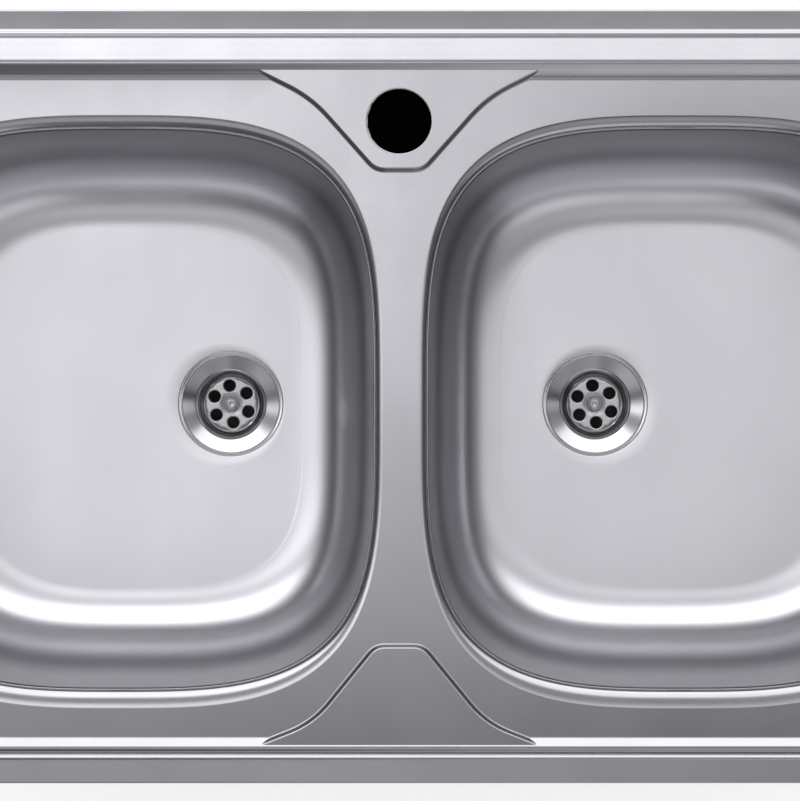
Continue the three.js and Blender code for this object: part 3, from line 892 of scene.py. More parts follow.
@dataclass(frozen=True)
class Plain:
    """A plastic, rubber, foam or pitch finish.

    Attributes:
        name: The finish's name.
        colour: Its colour.
        shade: The colour of its marks.
        roughness: Its usual roughness.
        grain: Grains to the metre.
        grain_depth: Depth of the grain in millimetres.
    """

    name: str
    colour: tuple[float, float, float]
    shade: tuple[float, float, float]
    roughness: float
    grain: float
    grain_depth: float

    def material(self) -> bpy.types.Material:
        """The finish as a material, made once.

        Returns:
            The material.
        """
        if self.name in bpy.data.materials:
            return bpy.data.materials[self.name]
        surface = Surface(self.name)
        grain = surface.place(grain_group(), "Mask", Scale=self.grain)
        height = surface.place(grain_group(), "Height", Scale=self.grain)
        smudge = surface.place(smudge_group(), "Mask", Scale=14.0)
        surface.colours((self.colour, None), (self.shade, smudge * 0.4 + grain * 0.3))
        surface.feed("Roughness", (grain - 0.5) * 0.12 + self.roughness)
        surface.bump(height, self.grain_depth)
        return surface.material


SATIN_DECK = Steel(
    "satin_steel_deck", (0.56, 0.555, 0.577), (0.52, 0.515, 0.535), 0.19, 0.05, 3200.0, 0.001,
    ring=(-1.1, 170.4, 20.0),
)
# The bowls take the deck's steel with a far brighter colour, painted light on their floors, and painted shade
# on their walls.
SATIN_BOWL = Steel(
    "satin_steel_bowl", (0.93, 0.925, 0.955), (0.88, 0.875, 0.905), 0.31, 0.05, 3200.0, 0.0015,
    drawn=(0.28, 0.276, 0.29), shade_z=(-152.0, -112.0), top_shade=(0.18, 0.177, 0.188),
)
POLISHED = Steel(
    "polished_steel", (0.70, 0.695, 0.715), (0.65, 0.645, 0.665), 0.18, 0.05, 4200.0, 0.001,
    bright=(0.88, 0.88, 0.89),
)
# The cup takes painted shade on its wall down to the strainer plate.
CUP = replace(POLISHED, name="polished_cup", drawn=(0.20, 0.198, 0.205), shade_z=(-166.0, -167.2))
ZINC = Steel(
    "zinc_plate", (0.55, 0.56, 0.57), (0.43, 0.44, 0.45), 0.40, 0.16, 900.0, 0.02, bright=(0.72, 0.73, 0.74)
)
BRASS = Steel(
    "brass", (0.62, 0.47, 0.20), (0.48, 0.35, 0.15), 0.33, 0.10, 1500.0, 0.01, bright=(0.78, 0.62, 0.32)
)
WHITE_PLASTIC = Plain("white_plastic", (0.76, 0.76, 0.74), (0.66, 0.66, 0.63), 0.42, 1800.0, 0.01)
BLACK_RUBBER = Plain("black_rubber", (0.022, 0.022, 0.024), (0.05, 0.05, 0.052), 0.78, 2200.0, 0.03)
GREY_FOAM = Plain("grey_foam", (0.16, 0.16, 0.17), (0.09, 0.09, 0.095), 0.95, 1100.0, 0.2)
BITUMEN = Plain("bitumen", (0.030, 0.029, 0.028), (0.055, 0.053, 0.05), 0.82, 700.0, 0.15)


# ---- Sizes that the pieces share ---------------------------------------------------------


@dataclass(frozen=True)
class Form:
    """The sink's main sizes, as the CAD has them."""

    sheet: float = 0.8
    mouth_x: float = 159.45
    mouth_y: float = 174.85
    square_x: float = 3.2
    square_y: float = 3.8
    divider: float = 31.6
    rim_x: float = 390.0
    rim_y: float = 240.0
    bowl_y: float = -7.7
    deck_z: float = 2.5
    seam_z: float = -1.5
    lip_side: float = 4.2
    lip_front: float = 10.5
    lip_back: float = 7.2
    side_recess: float = 28.4
    back_recess: float = 42.5
    drain_y: float = -4.9
    drain_left: float = -113.6
    drain_right: float = 129.7
    tap_x: float = -1.1
    tap_y: float = 170.4
    tap_radius: float = 20.0

    def bowl_x(self, side: Side) -> float:
        """The middle of a bowl."""
        return side.value * (self.divider / 2 + self.mouth_x)

    def drain(self, side: Side) -> tuple[float, float]:
        """The middle of a drain."""
        return (self.drain_left if side is Side.LEFT else self.drain_right, self.drain_y)

    def mouth_loop(self, side: Side, lip: float, grow: float, count: int) -> np.ndarray:
        """A loop round a bowl's mouth, as points in the plane.

        Args:
            side: Which bowl.
            lip: How far across the lip it runs, as a share. The lip is widest at the front.
            grow: How far it is moved out beyond that, in millimetres.
            count: How many points it has.

        Returns:
            The points, one row each.
        """
        unit = on_circle(round_angles(count))
        power = np.array([self.square_x, self.square_y])
        spread = (np.abs(unit) ** power).sum(axis=1, keepdims=True)
        unit /= spread ** (1.0 / power)
        half = np.array([self.mouth_x, self.mouth_y])
        normal = np.sign(unit) * np.abs(unit) ** (power - 1.0) * power / half
        normal /= np.linalg.norm(normal, axis=1, keepdims=True)
        long = np.where(normal[:, 1] < 0, self.lip_front, self.lip_back) - self.lip_side
        reach = self.lip_side + long * normal[:, 1] ** 2
        middle = np.array([self.bowl_x(side), self.bowl_y])
        return middle + unit * half + normal * (reach * lip + grow)[:, None]


FORM = Form()


# ---- Deck ------------------------------------------------------------------------------


@dataclass
class Plan:
    """Loops and lines in the plane that a pressed sheet is triangulated between."""

    points: list[np.ndarray] = field(default_factory=list)
    edges: list[tuple[int, int]] = field(default_factory=list)
    holes: list[list[int]] = field(default_factory=list)
    count: int = 0
    same_place: float = 0.002

    def add(self, line: np.ndarray, closed: bool = True, hole: bool = False) -> None:
        """Adds a line whose stretches stay edges of the sheet; the sheet is open inside a hole.

        Args:
            line: Its points.
            closed: Whether it closes on itself.
            hole: Whether it bounds a hole.
        """
        index = list(range(self.count, self.count + len(line)))
        self.points.append(line[:, :2])
        self.edges += list(zip(index, index[1:] + index[:1] if closed else index[1:]))
        if hole:
            self.holes.append(index)
        self.count += len(line)

    def triangles(self) -> tuple[np.ndarray, list[list[int]], np.ndarray]:
        """The triangulated sheet, without the holes.

        Returns:
            Its points in the plane, its faces, and the index of the added point that each point comes
            from, or -1 where two lines cross.
        """
        flat = [Vector(point) for point in np.vstack(self.points)]
        places, _, faces, came, _, sources = delaunay_2d_cdt(
            flat, self.edges, self.holes, 0, self.same_place, True
        )
        kept = [face for face, source in zip(faces, sources) if not source]
        origins = np.array([min(points) if points else -1 for points in came])
        return np.array([tuple(place) for place in places]), kept, origins


@dataclass
class Deck:
    """The pressed deck: flange, bead, ramp, recess, plateaus, tap hole and the lips of the mouths.

    Attributes:
        side_rim: The rim's section from its outer edge in, as [inset, height], at the sides and front.
        back_rim: The same at the back, with as many points.
        side_round, back_round: How far from a corner of those sections its round starts.
        front_plateau, back_plateau: Half a plateau's outline, as [offset from the axis, inset from the edge].
        plateau_rounds: How far from its corners that outline's rounds start.
        plateau_zone, plateau_from: How far from the two axes a plateau may lie at most and at least.
        tap_roll: The tap hole's rolled edge, as [distance from the hole, drop].
        lip_guard: How far beyond a lip lies the loop that keeps the deck flat.
        edge_zone, tap_zone: How near the outer edge and the tap hole the sheet follows rules of its own.
    """

    side_rim: tuple[tuple[float, float], ...] = (
        (0.0, 0.3), (0.05, 1.1), (15.4, 3.9), (15.65, 4.8), (16.5, 4.9), (17.8, 4.1), (20.5, 4.2),
        (21.2, 5.3), (23.3, 5.6), (24.9, 4.6), (26.6, 3.55), (28.2, 2.6), (28.7, 2.5),
        (29.2, 2.5), (29.7, 2.5),
    )
    back_rim: tuple[tuple[float, float], ...] = (
        (0.0, 0.3), (0.05, 1.1), (13.2, 3.0), (14.7, 3.95), (17.5, 4.05), (21.5, 4.98), (28.5, 6.6),
        (32.2, 7.45), (34.4, 7.6), (36.4, 6.0), (38.8, 4.35), (41.3, 3.1), (42.4, 3.0),
        (43.6, 2.55), (44.4, 2.5),
    )
    side_round: float = 0.9
    back_round: float = 1.1
    outer_radius: float = 12.0
    recess_radius: float = 45.0
    front_plateau: tuple[tuple[float, float], ...] = ((87.0, -5.2), (52.8, 8.3), (14.2, 55.6), (-14.2, 55.6))
    back_plateau: tuple[tuple[float, float], ...] = ((87.0, -5.2), (53.8, 11.3), (14.2, 55.9), (-14.2, 55.9))
    plateau_rounds: tuple[float, ...] = (16.0, 5.5)
    plateau_z: float = 5.1
    plateau_slope: float = 2.8
    side_crest: float = 22.6
    back_crest: float = 33.6
    plateau_zone: float = 125.0
    plateau_from: float = 60.0
    tap_roll: tuple[tuple[float, float], ...] = (
        (0.0, 0.55), (0.06, 0.3), (0.2, 0.13), (0.45, 0.03), (0.8, 0.0), (1.3, 0.0),
    )
    lip_turn: float = math.radians(74.0)
    lip_guard: float = 0.4
    edge_zone: float = 1.2
    tap_zone: float = 1.5
    corner_steps: int = 22
    mouth_steps: int = 288
    lip_steps: int = 12
    round_steps: int = 5
    plateau_steps: int = 14
    flank_steps: int = 10
    tap_steps: int = 96

    def sections(self) -> np.ndarray:
        """Fine sections of the rim: side inset, side height, back inset and back height."""
        both = np.hstack([np.array(self.side_rim), np.array(self.back_rim)])
        side = rounded(both[:, :2], self.side_round, self.round_steps)
        return np.hstack([side, rounded(both[:, 2:], self.back_round, self.round_steps)])

    def rim_loop(self, section: np.ndarray) -> np.ndarray:
        """A loop of the rim: the side section eases into the back one through the back corners.

        Args:
            section: Side inset, side height, back inset and back height.

        Returns:
            The points, one row each.
        """
        side_inset, side_z, back_inset, back_z = section
        radius = lerp(self.outer_radius, self.recess_radius, min(side_inset / FORM.side_recess, 1.0))
        x = FORM.rim_x - side_inset - radius
        back, front = FORM.rim_y - back_inset - radius, FORM.rim_y - side_inset - radius
        corners = [(x, back, 0, 1), (-x, back, 1, 0), (-x, -front, 0, 0), (x, -front, 0, 0)]
        points = []
        for corner, (centre_x, centre_y, start, end) in enumerate(corners):
            for i in range(self.corner_steps + 1):
                share = i / self.corner_steps
                angle = (corner + share) * math.pi / 2
                z = lerp(side_z, back_z, lerp(start, end, smoothstep(share)))
                points.append((centre_x + radius * math.cos(angle), centre_y + radius * math.sin(angle), z))
        return np.array(points)

    def flank(self, end: End, grow: float) -> np.ndarray:
        """A plateau's outline, moved out, as an open line from one root over the tip to the other.

        Args:
            end: Which plateau.
            grow: How far it is moved out.

        Returns:
            The points in the plane.
        """
        corners = self.back_plateau if end is End.BACK else self.front_plateau
        half = rounded(corners, self.plateau_rounds, self.plateau_steps)
        half = half[half[:, 0] > 0.0]
        line = beside(np.vstack([half, (half * [-1.0, 1.0])[::-1]]), grow)
        inset = FORM.back_recess if end is End.BACK else FORM.side_recess
        edge = end.value * (FORM.rim_y - inset)
        return np.column_stack([line[:, 0] + FORM.tap_x, edge - end.value * line[:, 1]])

    def plateau_height(self, places: np.ndarray) -> np.ndarray:
        """The height of the plateaus' form at each place, and minus infinity away from them.

        Args:
            places: Points in the plane.

        Returns:
            One height for each.
        """
        rise = np.zeros(len(places))
        near = np.flatnonzero(np.abs(places[:, 0]) < self.plateau_zone)
        for end in End:
            line = self.flank(end, 0.0)
            there = near[places[near, 1] * end.value > self.plateau_from]
            away = distance_to_line(places[there], line)
            away = np.where(inside(places[there], line), -away, away)
            crest = self.back_crest if end is End.BACK else self.side_crest
            within = FORM.rim_y - np.abs(places[there, 1]) > crest
            rise[there] = np.maximum(rise[there], within * (1.0 - smoothstep(away / self.plateau_slope)))
        return np.where(rise > 0.0, FORM.deck_z + rise * (self.plateau_z - FORM.deck_z), -np.inf)

    def rim_height(self, places: np.ndarray) -> np.ndarray:
        """The rim's height beside the plateaus, where its edges are straight.

        Args:
            places: Points in the plane.

        Returns:
            One height for each.
        """
        sections = self.sections()
        inset = FORM.rim_y - np.abs(places[:, 1])
        back = np.interp(inset, sections[:, 2], sections[:, 3])
        front = np.interp(inset, sections[:, 0], sections[:, 1])
        return np.where(places[:, 1] > 0, back, front)

    def face(self) -> tuple[np.ndarray, list[list[int]], np.ndarray]:
        """The pressed face.

        Returns:
            Its vertices, its faces, and for each vertex whether the sheet's gauge is square to the face
            there rather than upright.
        """
        plan = Plan()
        known: list[np.ndarray] = []

        def add(loop: np.ndarray, hole: bool = False) -> None:
            """Adds a loop of known height to the plan."""
            plan.add(loop, True, hole)
            known.append(loop)

        for section in self.sections():
            add(self.rim_loop(section))
        for side in Side:
            for i in range(self.lip_steps + 2):
                angle = min(i / self.lip_steps, 1.0) * self.lip_turn
                beyond = self.lip_guard if i > self.lip_steps else 0.0
                z = FORM.seam_z + (FORM.deck_z - FORM.seam_z) * math.sin(angle) / math.sin(self.lip_turn)
                run = (1.0 - math.cos(angle)) / (1.0 - math.cos(self.lip_turn))
                loop = FORM.mouth_loop(side, run, beyond, self.mouth_steps)
                add(np.column_stack([loop, np.full(len(loop), z)]), i == 0)
        ring = on_circle(round_angles(self.tap_steps))
        for grow, drop in self.tap_roll:
            loop = np.array([FORM.tap_x, FORM.tap_y]) + ring * (FORM.tap_radius + grow)
            add(np.column_stack([loop, np.full(len(loop), self.plateau_z - drop)]), grow == 0.0)
        for end in End:
            for i in range(-1, self.flank_steps + 2):
                plan.add(self.flank(end, i / self.flank_steps * self.plateau_slope), closed=False)
        places, faces, origins = plan.triangles()
        vertices = self._raised(places, np.vstack(known)[:, 2], origins)
        return vertices, faces, self._square(places)

    def _square(self, places: np.ndarray) -> np.ndarray:
        """Where the gauge is square to the face: at the lips and the outer edge."""
        edge = (np.array([FORM.rim_x, FORM.rim_y]) - np.abs(places) < self.edge_zone).any(axis=1)
        return self._lips(places) | edge

    def _lips(self, places: np.ndarray) -> np.ndarray:
        """Which places lie on the lips of the mouths.

        Args:
            places: Points in the plane.

        Returns:
            One truth for each.
        """
        lips = np.zeros(len(places), bool)
        for side in Side:
            lips |= inside(places, FORM.mouth_loop(side, 1.0, 0.1, self.mouth_steps))
        return lips

    def _raised(self, places: np.ndarray, known: np.ndarray, origins: np.ndarray) -> np.ndarray:
        """The plan's places with their heights: known ones as given, and the highest form elsewhere.

        Args:
            places: Points in the plane.
            known: The heights of the points that were added with one.
            origins: The index of the added point that each place comes from.

        Returns:
            The vertices.
        """
        heights = np.full(len(places), FORM.deck_z)
        near_rim = np.abs(places[:, 0]) < self.plateau_zone
        heights[near_rim] = self.rim_height(places[near_rim])
        given = (origins >= 0) & (origins < len(known))
        heights[given] = known[origins[given]]
        tap = np.linalg.norm(places - [FORM.tap_x, FORM.tap_y], axis=1) < FORM.tap_radius + self.tap_zone
        fixed = self._lips(places) | tap
        highest = np.maximum(heights, self.plateau_height(places))
        return np.column_stack([places, np.where(fixed, heights, highest)])

    def build(self) -> bpy.types.Object:
        """The deck as a sheet of constant gauge.

        Returns:
            The piece.
        """
        vertices, faces, square = self.face()
        made = mesh_object("pressed_deck", vertices, faces, SATIN_DECK.material())
        normals = np.array([tuple(vertex.normal) for vertex in made.data.vertices])
        if normals[:, 2].mean() < 0:
            faces, normals = [face[::-1] for face in faces], -normals
        back = np.where(square[:, None], normals, [0.0, 0.0, 1.0])
        count = len(vertices)
        under = vertices - back * FORM.sheet
        used = dict.fromkeys(pair for face in faces for pair in zip(face, (*face[1:], face[0])))
        walls = [(b, a, a + count, b + count) for a, b in used if (b, a) not in used]
        below = [[corner + count for corner in reversed(face)] for face in faces]
        bpy.data.objects.remove(made)
        made = mesh_object(
            "pressed_deck", np.vstack([vertices, under]), [*faces, *below, *walls], SATIN_DECK.material()
        )
        return seat(made, "sink", "satin_steel", "deck")


# ---- Bowls -----------------------------------------------------------------------------


@dataclass
class Bowls:
    """The two deep-drawn bowls and the weld that joins them to the deck's lips.

    Attributes:
        draft: The wall's lean, in degrees.
        round_rise, round_reach: How high up the wall and how far in the rounding to the floor reaches.
        fullness: How far the rounding's handles go towards its corner, as a share.
        inset_x, inset_y: How much smaller than the mouth the floor is, at each side.
        fall, fall_reach: How far the floor falls to the drain, and from how far away.
        stretches: The shares of the way in where the wall, the rounding, the floor, the recess's brink and
            the recess start and end.
        fall_course: The shares of the way in where that fall starts and is full.
        floor_ease: How the floor's outline turns from the bowl's to the drain's.
        brink_width, brink_share, brink_ease: The recess's brink: its width, the share of the recess's drop
            that it takes, and the share of the recess that it takes it over.
    """

    depth: float = 161.4
    draft: float = 5.0
    round_rise: float = 62.0
    round_reach: float = 52.0
    fullness: float = 0.66
    inset_x: float = 50.0
    inset_y: float = 54.5
    seam_gap: float = 0.3
    fall: float = 0.6
    fall_reach: float = 160.0
    recess_radius: float = 35.3
    recess_drop: float = 4.9
    hole_radius: float = 26.0
    stretches: tuple[tuple[float, float], ...] = (
        (0.0, 0.12), (0.12, 0.62), (0.62, 0.87), (0.87, 0.88), (0.88, 1.0),
    )
    fall_course: tuple[float, float] = (0.42, 0.85)
    floor_ease: float = 0.35
    brink_width: float = 0.4
    brink_share: float = 0.4
    brink_ease: float = 0.14
    lip_clearance: float = 0.1
    weld_inset: float = 0.55
    weld_radius: float = 0.42
    weld_drop: float = 0.15
    weld_sides: int = 10
    around: int = 288
    down: int = 101

    def skin_tree(self) -> NodeTree:
        """The rule of a bowl's inner face: a superellipse that draws in, rounds to a floor and drains.

        Returns:
            The tree.
        """
        tree = NodeTree("bowl_skin")
        centre_x, centre_y = tree.number("Centre X"), tree.number("Centre Y")
        half_x, half_y = tree.number("Half Width"), tree.number("Half Depth")
        square_x, square_y = tree.number("Square X"), tree.number("Square Y")
        top, depth, draft = tree.number("Top"), tree.number("Bowl Depth"), tree.number("Draft")
        rise, reach, full = tree.number("Round Rise"), tree.number("Round Reach"), tree.number("Fullness")
        inset_x, inset_y = tree.number("Inset X"), tree.number("Inset Y")
        drain_x, drain_y = tree.number("Drain X"), tree.number("Drain Y")
        recess, drop = tree.number("Recess Radius"), tree.number("Recess Drop")
        hole = tree.number("Hole Radius")
        fall, fall_reach = tree.number("Floor Fall"), tree.number("Fall Reach")
        around, down = tree.number("Around", "NodeSocketInt"), tree.number("Down", "NodeSocketInt")
        grid = tree.node("GeometryNodeMeshGrid", Size_X=1.0, Size_Y=1.0, Vertices_X=down, Vertices_Y=around)
        across, along, _ = tree.position()
        course, turn = across + 0.5, (along + 0.5) * (2.0 * math.pi)
        wall, curve, floor, brink, sink = (course.window(low, high) for low, high in self.stretches)
        tangent = draft.math("TANGENT")
        bend = depth * -1.0 + rise
        foot = (top - bend) * tangent
        corner = foot + rise * tangent
        end = corner + reach
        rest = curve * -1.0 + 1.0
        weights = (
            rest * rest * rest, rest * rest * curve * 3.0, rest * curve * curve * 3.0, curve * curve * curve,
        )
        insets = (foot * wall, foot.towards(corner, full), end.towards(corner, full), end)
        heights = (top.towards(bend, wall), bend - rise * full, depth * -1.0, depth * -1.0)
        drawn, height = weights[0] * insets[0], weights[0] * heights[0]
        for weight, inset, level in zip(weights[1:], insets[1:], heights[1:]):
            drawn, height = drawn + weight * inset, height + weight * level
        share = drawn / end
        cosine, sine = turn.math("COSINE"), turn.math("SINE")
        wide, deep = cosine.math("ABSOLUTE"), sine.math("ABSOLUTE")
        spread = wide.math("POWER", square_x) + deep.math("POWER", square_y)
        lobe_x = cosine / spread.math("POWER", square_x.math("POWER", -1.0))
        lobe_y = sine / spread.math("POWER", square_y.math("POWER", -1.0))
        ring = recess + (brink * -1.0 + 1.0) * self.brink_width + (hole - recess) * sink
        easing = floor * floor * (floor * -self.floor_ease + (1.0 + self.floor_ease))
        x = (centre_x + lobe_x * (half_x - inset_x * share)).towards(drain_x + cosine * ring, easing)
        y = (centre_y + lobe_y * (half_y - inset_y * share)).towards(drain_y + sine * ring, easing)
        away_x, away_y = x - drain_x, y - drain_y
        away = (away_x * away_x + away_y * away_y).math("SQRT")
        dished = away.eased(fall_reach, recess) * course.eased(*self.fall_course)
        brink_drop = drop * sink.eased(0.0, self.brink_ease) * self.brink_share
        z = height - fall * dished - brink_drop - drop * sink * (1.0 - self.brink_share)
        placed = tree.node("GeometryNodeSetPosition", Geometry=grid, Position=tree.vector(x, y, z))
        scaled = tree.node("GeometryNodeTransform", Geometry=placed, Scale=(MM, MM, MM))
        closed = tree.node("GeometryNodeMergeByDistance", Geometry=scaled, Distance=SEAM_JOIN)
        tree.close(closed)
        return tree

    def bowl(self, tree: NodeTree, side: Side) -> bpy.types.Object:
        """One bowl of constant gauge.

        Args:
            tree: The rule of a bowl's face.
            side: Which bowl.

        Returns:
            The piece.
        """
        name = side.name.lower()
        drain = FORM.drain(side)
        made = tree.grow(
            f"{name}_drawn_bowl", Centre_X=FORM.bowl_x(side), Centre_Y=FORM.bowl_y,
            Half_Width=FORM.mouth_x - self.lip_clearance, Half_Depth=FORM.mouth_y - self.lip_clearance,
            Square_X=FORM.square_x, Square_Y=FORM.square_y,
            Top=FORM.seam_z - self.seam_gap, Bowl_Depth=self.depth, Draft=math.radians(self.draft),
            Round_Rise=self.round_rise, Round_Reach=self.round_reach, Fullness=self.fullness,
            Inset_X=self.inset_x, Inset_Y=self.inset_y, Drain_X=drain[0], Drain_Y=drain[1],
            Recess_Radius=self.recess_radius, Recess_Drop=self.recess_drop, Hole_Radius=self.hole_radius,
            Floor_Fall=self.fall, Fall_Reach=self.fall_reach, Around=self.around + 1, Down=self.down,
            Material=SATIN_BOWL.material(),
        )
        with_wall(made, FORM.sheet)
        return seat(made, "sink", "satin_steel", f"{name}_bowl")

    def weld_tree(self) -> NodeTree:
        """A round bead swept along a closed line of vertices.

        Returns:
            The tree.
        """
        tree = NodeTree("weld_bead")
        radius = tree.number("Radius")
        line = tree.node("GeometryNodeMeshToCurve", Mesh=tree.entry())
        section = tree.node("GeometryNodeCurvePrimitiveCircle", Resolution=self.weld_sides, Radius=radius)
        bead = tree.node("GeometryNodeCurveToMesh", Curve=line, Profile_Curve=section)
        tree.close(bead)
        return tree

    def weld(self, tree: NodeTree, side: Side) -> bpy.types.Object:
        """The ground weld between a bowl and the deck's lip.

        Args:
            tree: The rule of a bead.
            side: Which bowl.

        Returns:
            The piece.
        """
        name = f"{side.name.lower()}_seam_weld"
        loop = FORM.mouth_loop(side, 0.0, -self.weld_inset, self.around)
        z = FORM.seam_z - self.seam_gap - self.weld_drop
        mesh = bpy.data.meshes.new(name)
        mesh.from_pydata(
            [(x * MM, y * MM, z * MM) for x, y in loop],
            [(i, (i + 1) % self.around) for i in range(self.around)], [],
        )
        made = tree.grow(name, mesh, Radius=self.weld_radius * MM, Material=SATIN_DECK.material())
        return seat(plain_mesh(made), "sink", "satin_steel")

    def build(self) -> None:
        """Both bowls and their welds."""
        skin, bead = self.skin_tree(), self.weld_tree()
        for side in Side:
            self.bowl(skin, side)
            self.weld(bead, side)


# ---- Wastes ----------------------------------------------------------------------------


@dataclass
class Waste:
    """The strainer waste of one bowl.

    Attributes:
        side: Which bowl it is in.
        flange_z, flange_radius, band_radius: The flange's top, its rim and its highest ring.
        dish_radius, dish_drop: Where the flange's dish ends, and how deep it is there.
        plate_lap: How far the cup's wall and the strainer plate overlap.
        ring_radii: The rings of the plate's mesh inside its rim, the well and the dimple among them.
        roll: The rolled edge of the plate's holes, as [distance from the hole, drop].
        hole_start: The angle of the first hole, in degrees.
        neck_z: Where the tail starts below the funnel.
        gusset_z, gusset_rise, gusset_top: Where the gussets start, how far they take to grow, and their top.
        gusset_root: The least radius that a gusset stands on.
        gusset_from, gusset_ease: How narrow a gusset is, by the cosine of its angle.
        rib_span, rib_top: The span from the axis and the top of the ribs that hold the boss.
        nut_drop, nut_rise: How far the nut reaches below and above the tail's end.
        pipe_radius: The trap pipe that the nut and its washer take.
        lug_angle, grip_count, grip_depth: Half a lug's angle in degrees, and the grip between the lugs.
    """

    side: Side
    flange_z: float = -161.7
    flange_radius: float = 35.0
    gauge: float = 0.8
    band_radius: float = 32.7
    dish_radius: float = 22.8
    dish_drop: float = 3.6
    plate_radius: float = 18.8
    plate_drop: float = 10.0
    plate_lap: float = 1.2
    dimple_radius: float = 8.3
    dimple_drop: float = 1.1
    dimple_slope: float = 3.0
    well_radius: float = 5.5
    well_drop: float = 0.8
    well_slope: float = 0.5
    ring_radii: tuple[float, ...] = (3.2, 5.0, 5.5, 6.3, 7.3, 8.3, 9.8, 11.6, 13.6, 15.6)
    roll: tuple[tuple[float, float], ...] = (
        (0.0, 0.75), (0.05, 0.5), (0.17, 0.27), (0.4, 0.1), (0.75, 0.0), (1.05, 0.0),
    )
    arc_steps: int = 8
    hole_steps: int = 32
    hole_radius: float = 4.0
    hole_circle: float = 12.4
    hole_start: float = 35.8
    holes: int = 6
    screw_radius: float = 2.9
    screw_end: float = -196.5
    head_radius: float = 4.5
    tail_radius: float = 23.7
    tail_bore: float = 19.8
    tail_end: float = -245.775
    tail_pitch: float = 2.3
    thread_depth: float = 1.0
    thread_top: float = -203.0
    neck_z: float = -196.5
    gussets: int = 12
    gusset_reach: float = 4.6
    gusset_z: float = -191.0
    gusset_rise: float = 16.5
    gusset_top: float = -174.2
    gusset_root: float = 24.5
    gusset_from: float = 0.90
    gusset_ease: float = 0.08
    ribs: int = 3
    rib_span: tuple[float, float] = (6.9, 23.4)
    rib_top: float = -179.5
    nut_drop: float = 6.0
    nut_rise: float = 18.0
    nut_radius: float = 28.0
    nut_bore: float = 24.1
    pipe_radius: float = 20.4
    lugs: int = 6
    lug_angle: float = 8.0
    lug_reach: float = 2.4
    grip_count: float = 72.0
    grip_depth: float = 0.22

    @property
    def name(self) -> str:
        """The side's name, which starts the names of its pieces."""
        return self.side.name.lower()

    @property
    def plate_z(self) -> float:
        """The top of the strainer plate."""
        return self.flange_z - self.plate_drop

    def cup(self) -> bpy.types.Object:
        """The flange, dish and wall down to the strainer plate.

        Returns:
            The piece.
        """
        top, dish_z, floor = self.flange_z, self.flange_z - self.dish_drop, self.plate_z
        plate, dish, band, rim = self.plate_radius, self.dish_radius, self.band_radius, self.flange_radius
        line = [
            (plate - self.plate_lap, floor), (plate, floor), (plate + 1.6, floor + 1.2),
            (dish - 0.65, dish_z - 1.2), (dish + 0.65, dish_z), (band - 0.3, top - 0.3), (band, top),
            (band + 0.4, top - 0.3), (rim - 0.5, top - 0.05), (rim, top - 0.4), (rim, top - 0.9),
        ]
        reach = [0.6] * 4 + [0.25] * 3 + [0.3] * 2
        line = rounded(line, reach, 4)
        made = turned_skin(f"{self.name}_waste_flange", line, FORM.drain(self.side), CUP.material())
        with_wall(made, self.gauge)
        return seat(made, "sink", "polished_steel", f"{self.name}_strainer_cup")

    def sector(self) -> bpy.types.Mesh:
        """One sixth of the strainer plate, with its rolled hole, about the origin.

        Returns:
            The mesh, in metres.
        """
        plan = Plan()
        half = math.pi / self.holes
        radii = np.array([*self.ring_radii, self.plate_radius - self.plate_lap])
        start = np.column_stack([radii * math.cos(half), -radii * math.sin(half)])
        arc = on_circle(np.linspace(-half, half, self.arc_steps + 1))
        outer = radii[-1] * on_circle(np.linspace(-half, half, 2 * self.arc_steps + 1))
        edge = np.vstack([start, outer[1:-1], (start * [1, -1])[::-1], radii[0] * arc[::-1][1:-1]])
        plan.add(edge)
        for radius in radii[(radii > radii[0]) & (radii <= self.dimple_radius)]:
            plan.add(radius * arc[1:-1], closed=False)
        circle = on_circle(round_angles(self.hole_steps))
        for grow, _ in self.roll:
            plan.add(circle * (self.hole_radius + grow) + [self.hole_circle, 0.0], hole=grow == 0.0)
        places, faces, _ = plan.triangles()
        away = np.linalg.norm(places - [self.hole_circle, 0.0], axis=1) - self.hole_radius
        drops = np.interp(away, *zip(*self.roll))
        inward = np.linalg.norm(places, axis=1)
        drops += self.dimple_drop * smoothstep((self.dimple_radius - inward) / self.dimple_slope)
        drops += self.well_drop * smoothstep((self.well_radius - inward) / self.well_slope)
        centroids = np.array([places[list(face)].mean(axis=0) for face in faces])
        faces = [face for face, keep in zip(faces, inside(centroids, edge)) if keep]
        mesh = bpy.data.meshes.new("plate_sector")
        vertices = np.column_stack([places, -drops]) * MM
        mesh.from_pydata(vertices.tolist(), [], [list(face) for face in faces])
        mesh.validate()
        return mesh

    def plate_tree(self) -> NodeTree:
        """Turns a sector about the axis, as many times as there are holes, and joins the copies.

        Returns:
            The tree.
        """
        tree = NodeTree("turned_copies")
        count, start = tree.number("Copies", "NodeSocketInt"), tree.number("Start Angle")
        x, y, z = tree.number("X"), tree.number("Y"), tree.number("Z")
        points = tree.node("GeometryNodePoints", Count=count)
        index = Field(tree.group, tree.group.nodes.new("GeometryNodeInputIndex").outputs[0])
        turn = index * (2.0 * math.pi) / count + start
        upright = tree.vector(0.0, 0.0, turn)
        copies = tree.node(
            "GeometryNodeInstanceOnPoints", Points=points, Instance=tree.entry(), Rotation=upright
        )
        real = tree.node("GeometryNodeRealizeInstances", Geometry=copies)
        joined = tree.node("GeometryNodeMergeByDistance", Geometry=real, Distance=COPY_JOIN)
        placed = tree.node("GeometryNodeTransform", Geometry=joined, Translation=tree.vector(x, y, z))
        tree.close(placed)
        return tree

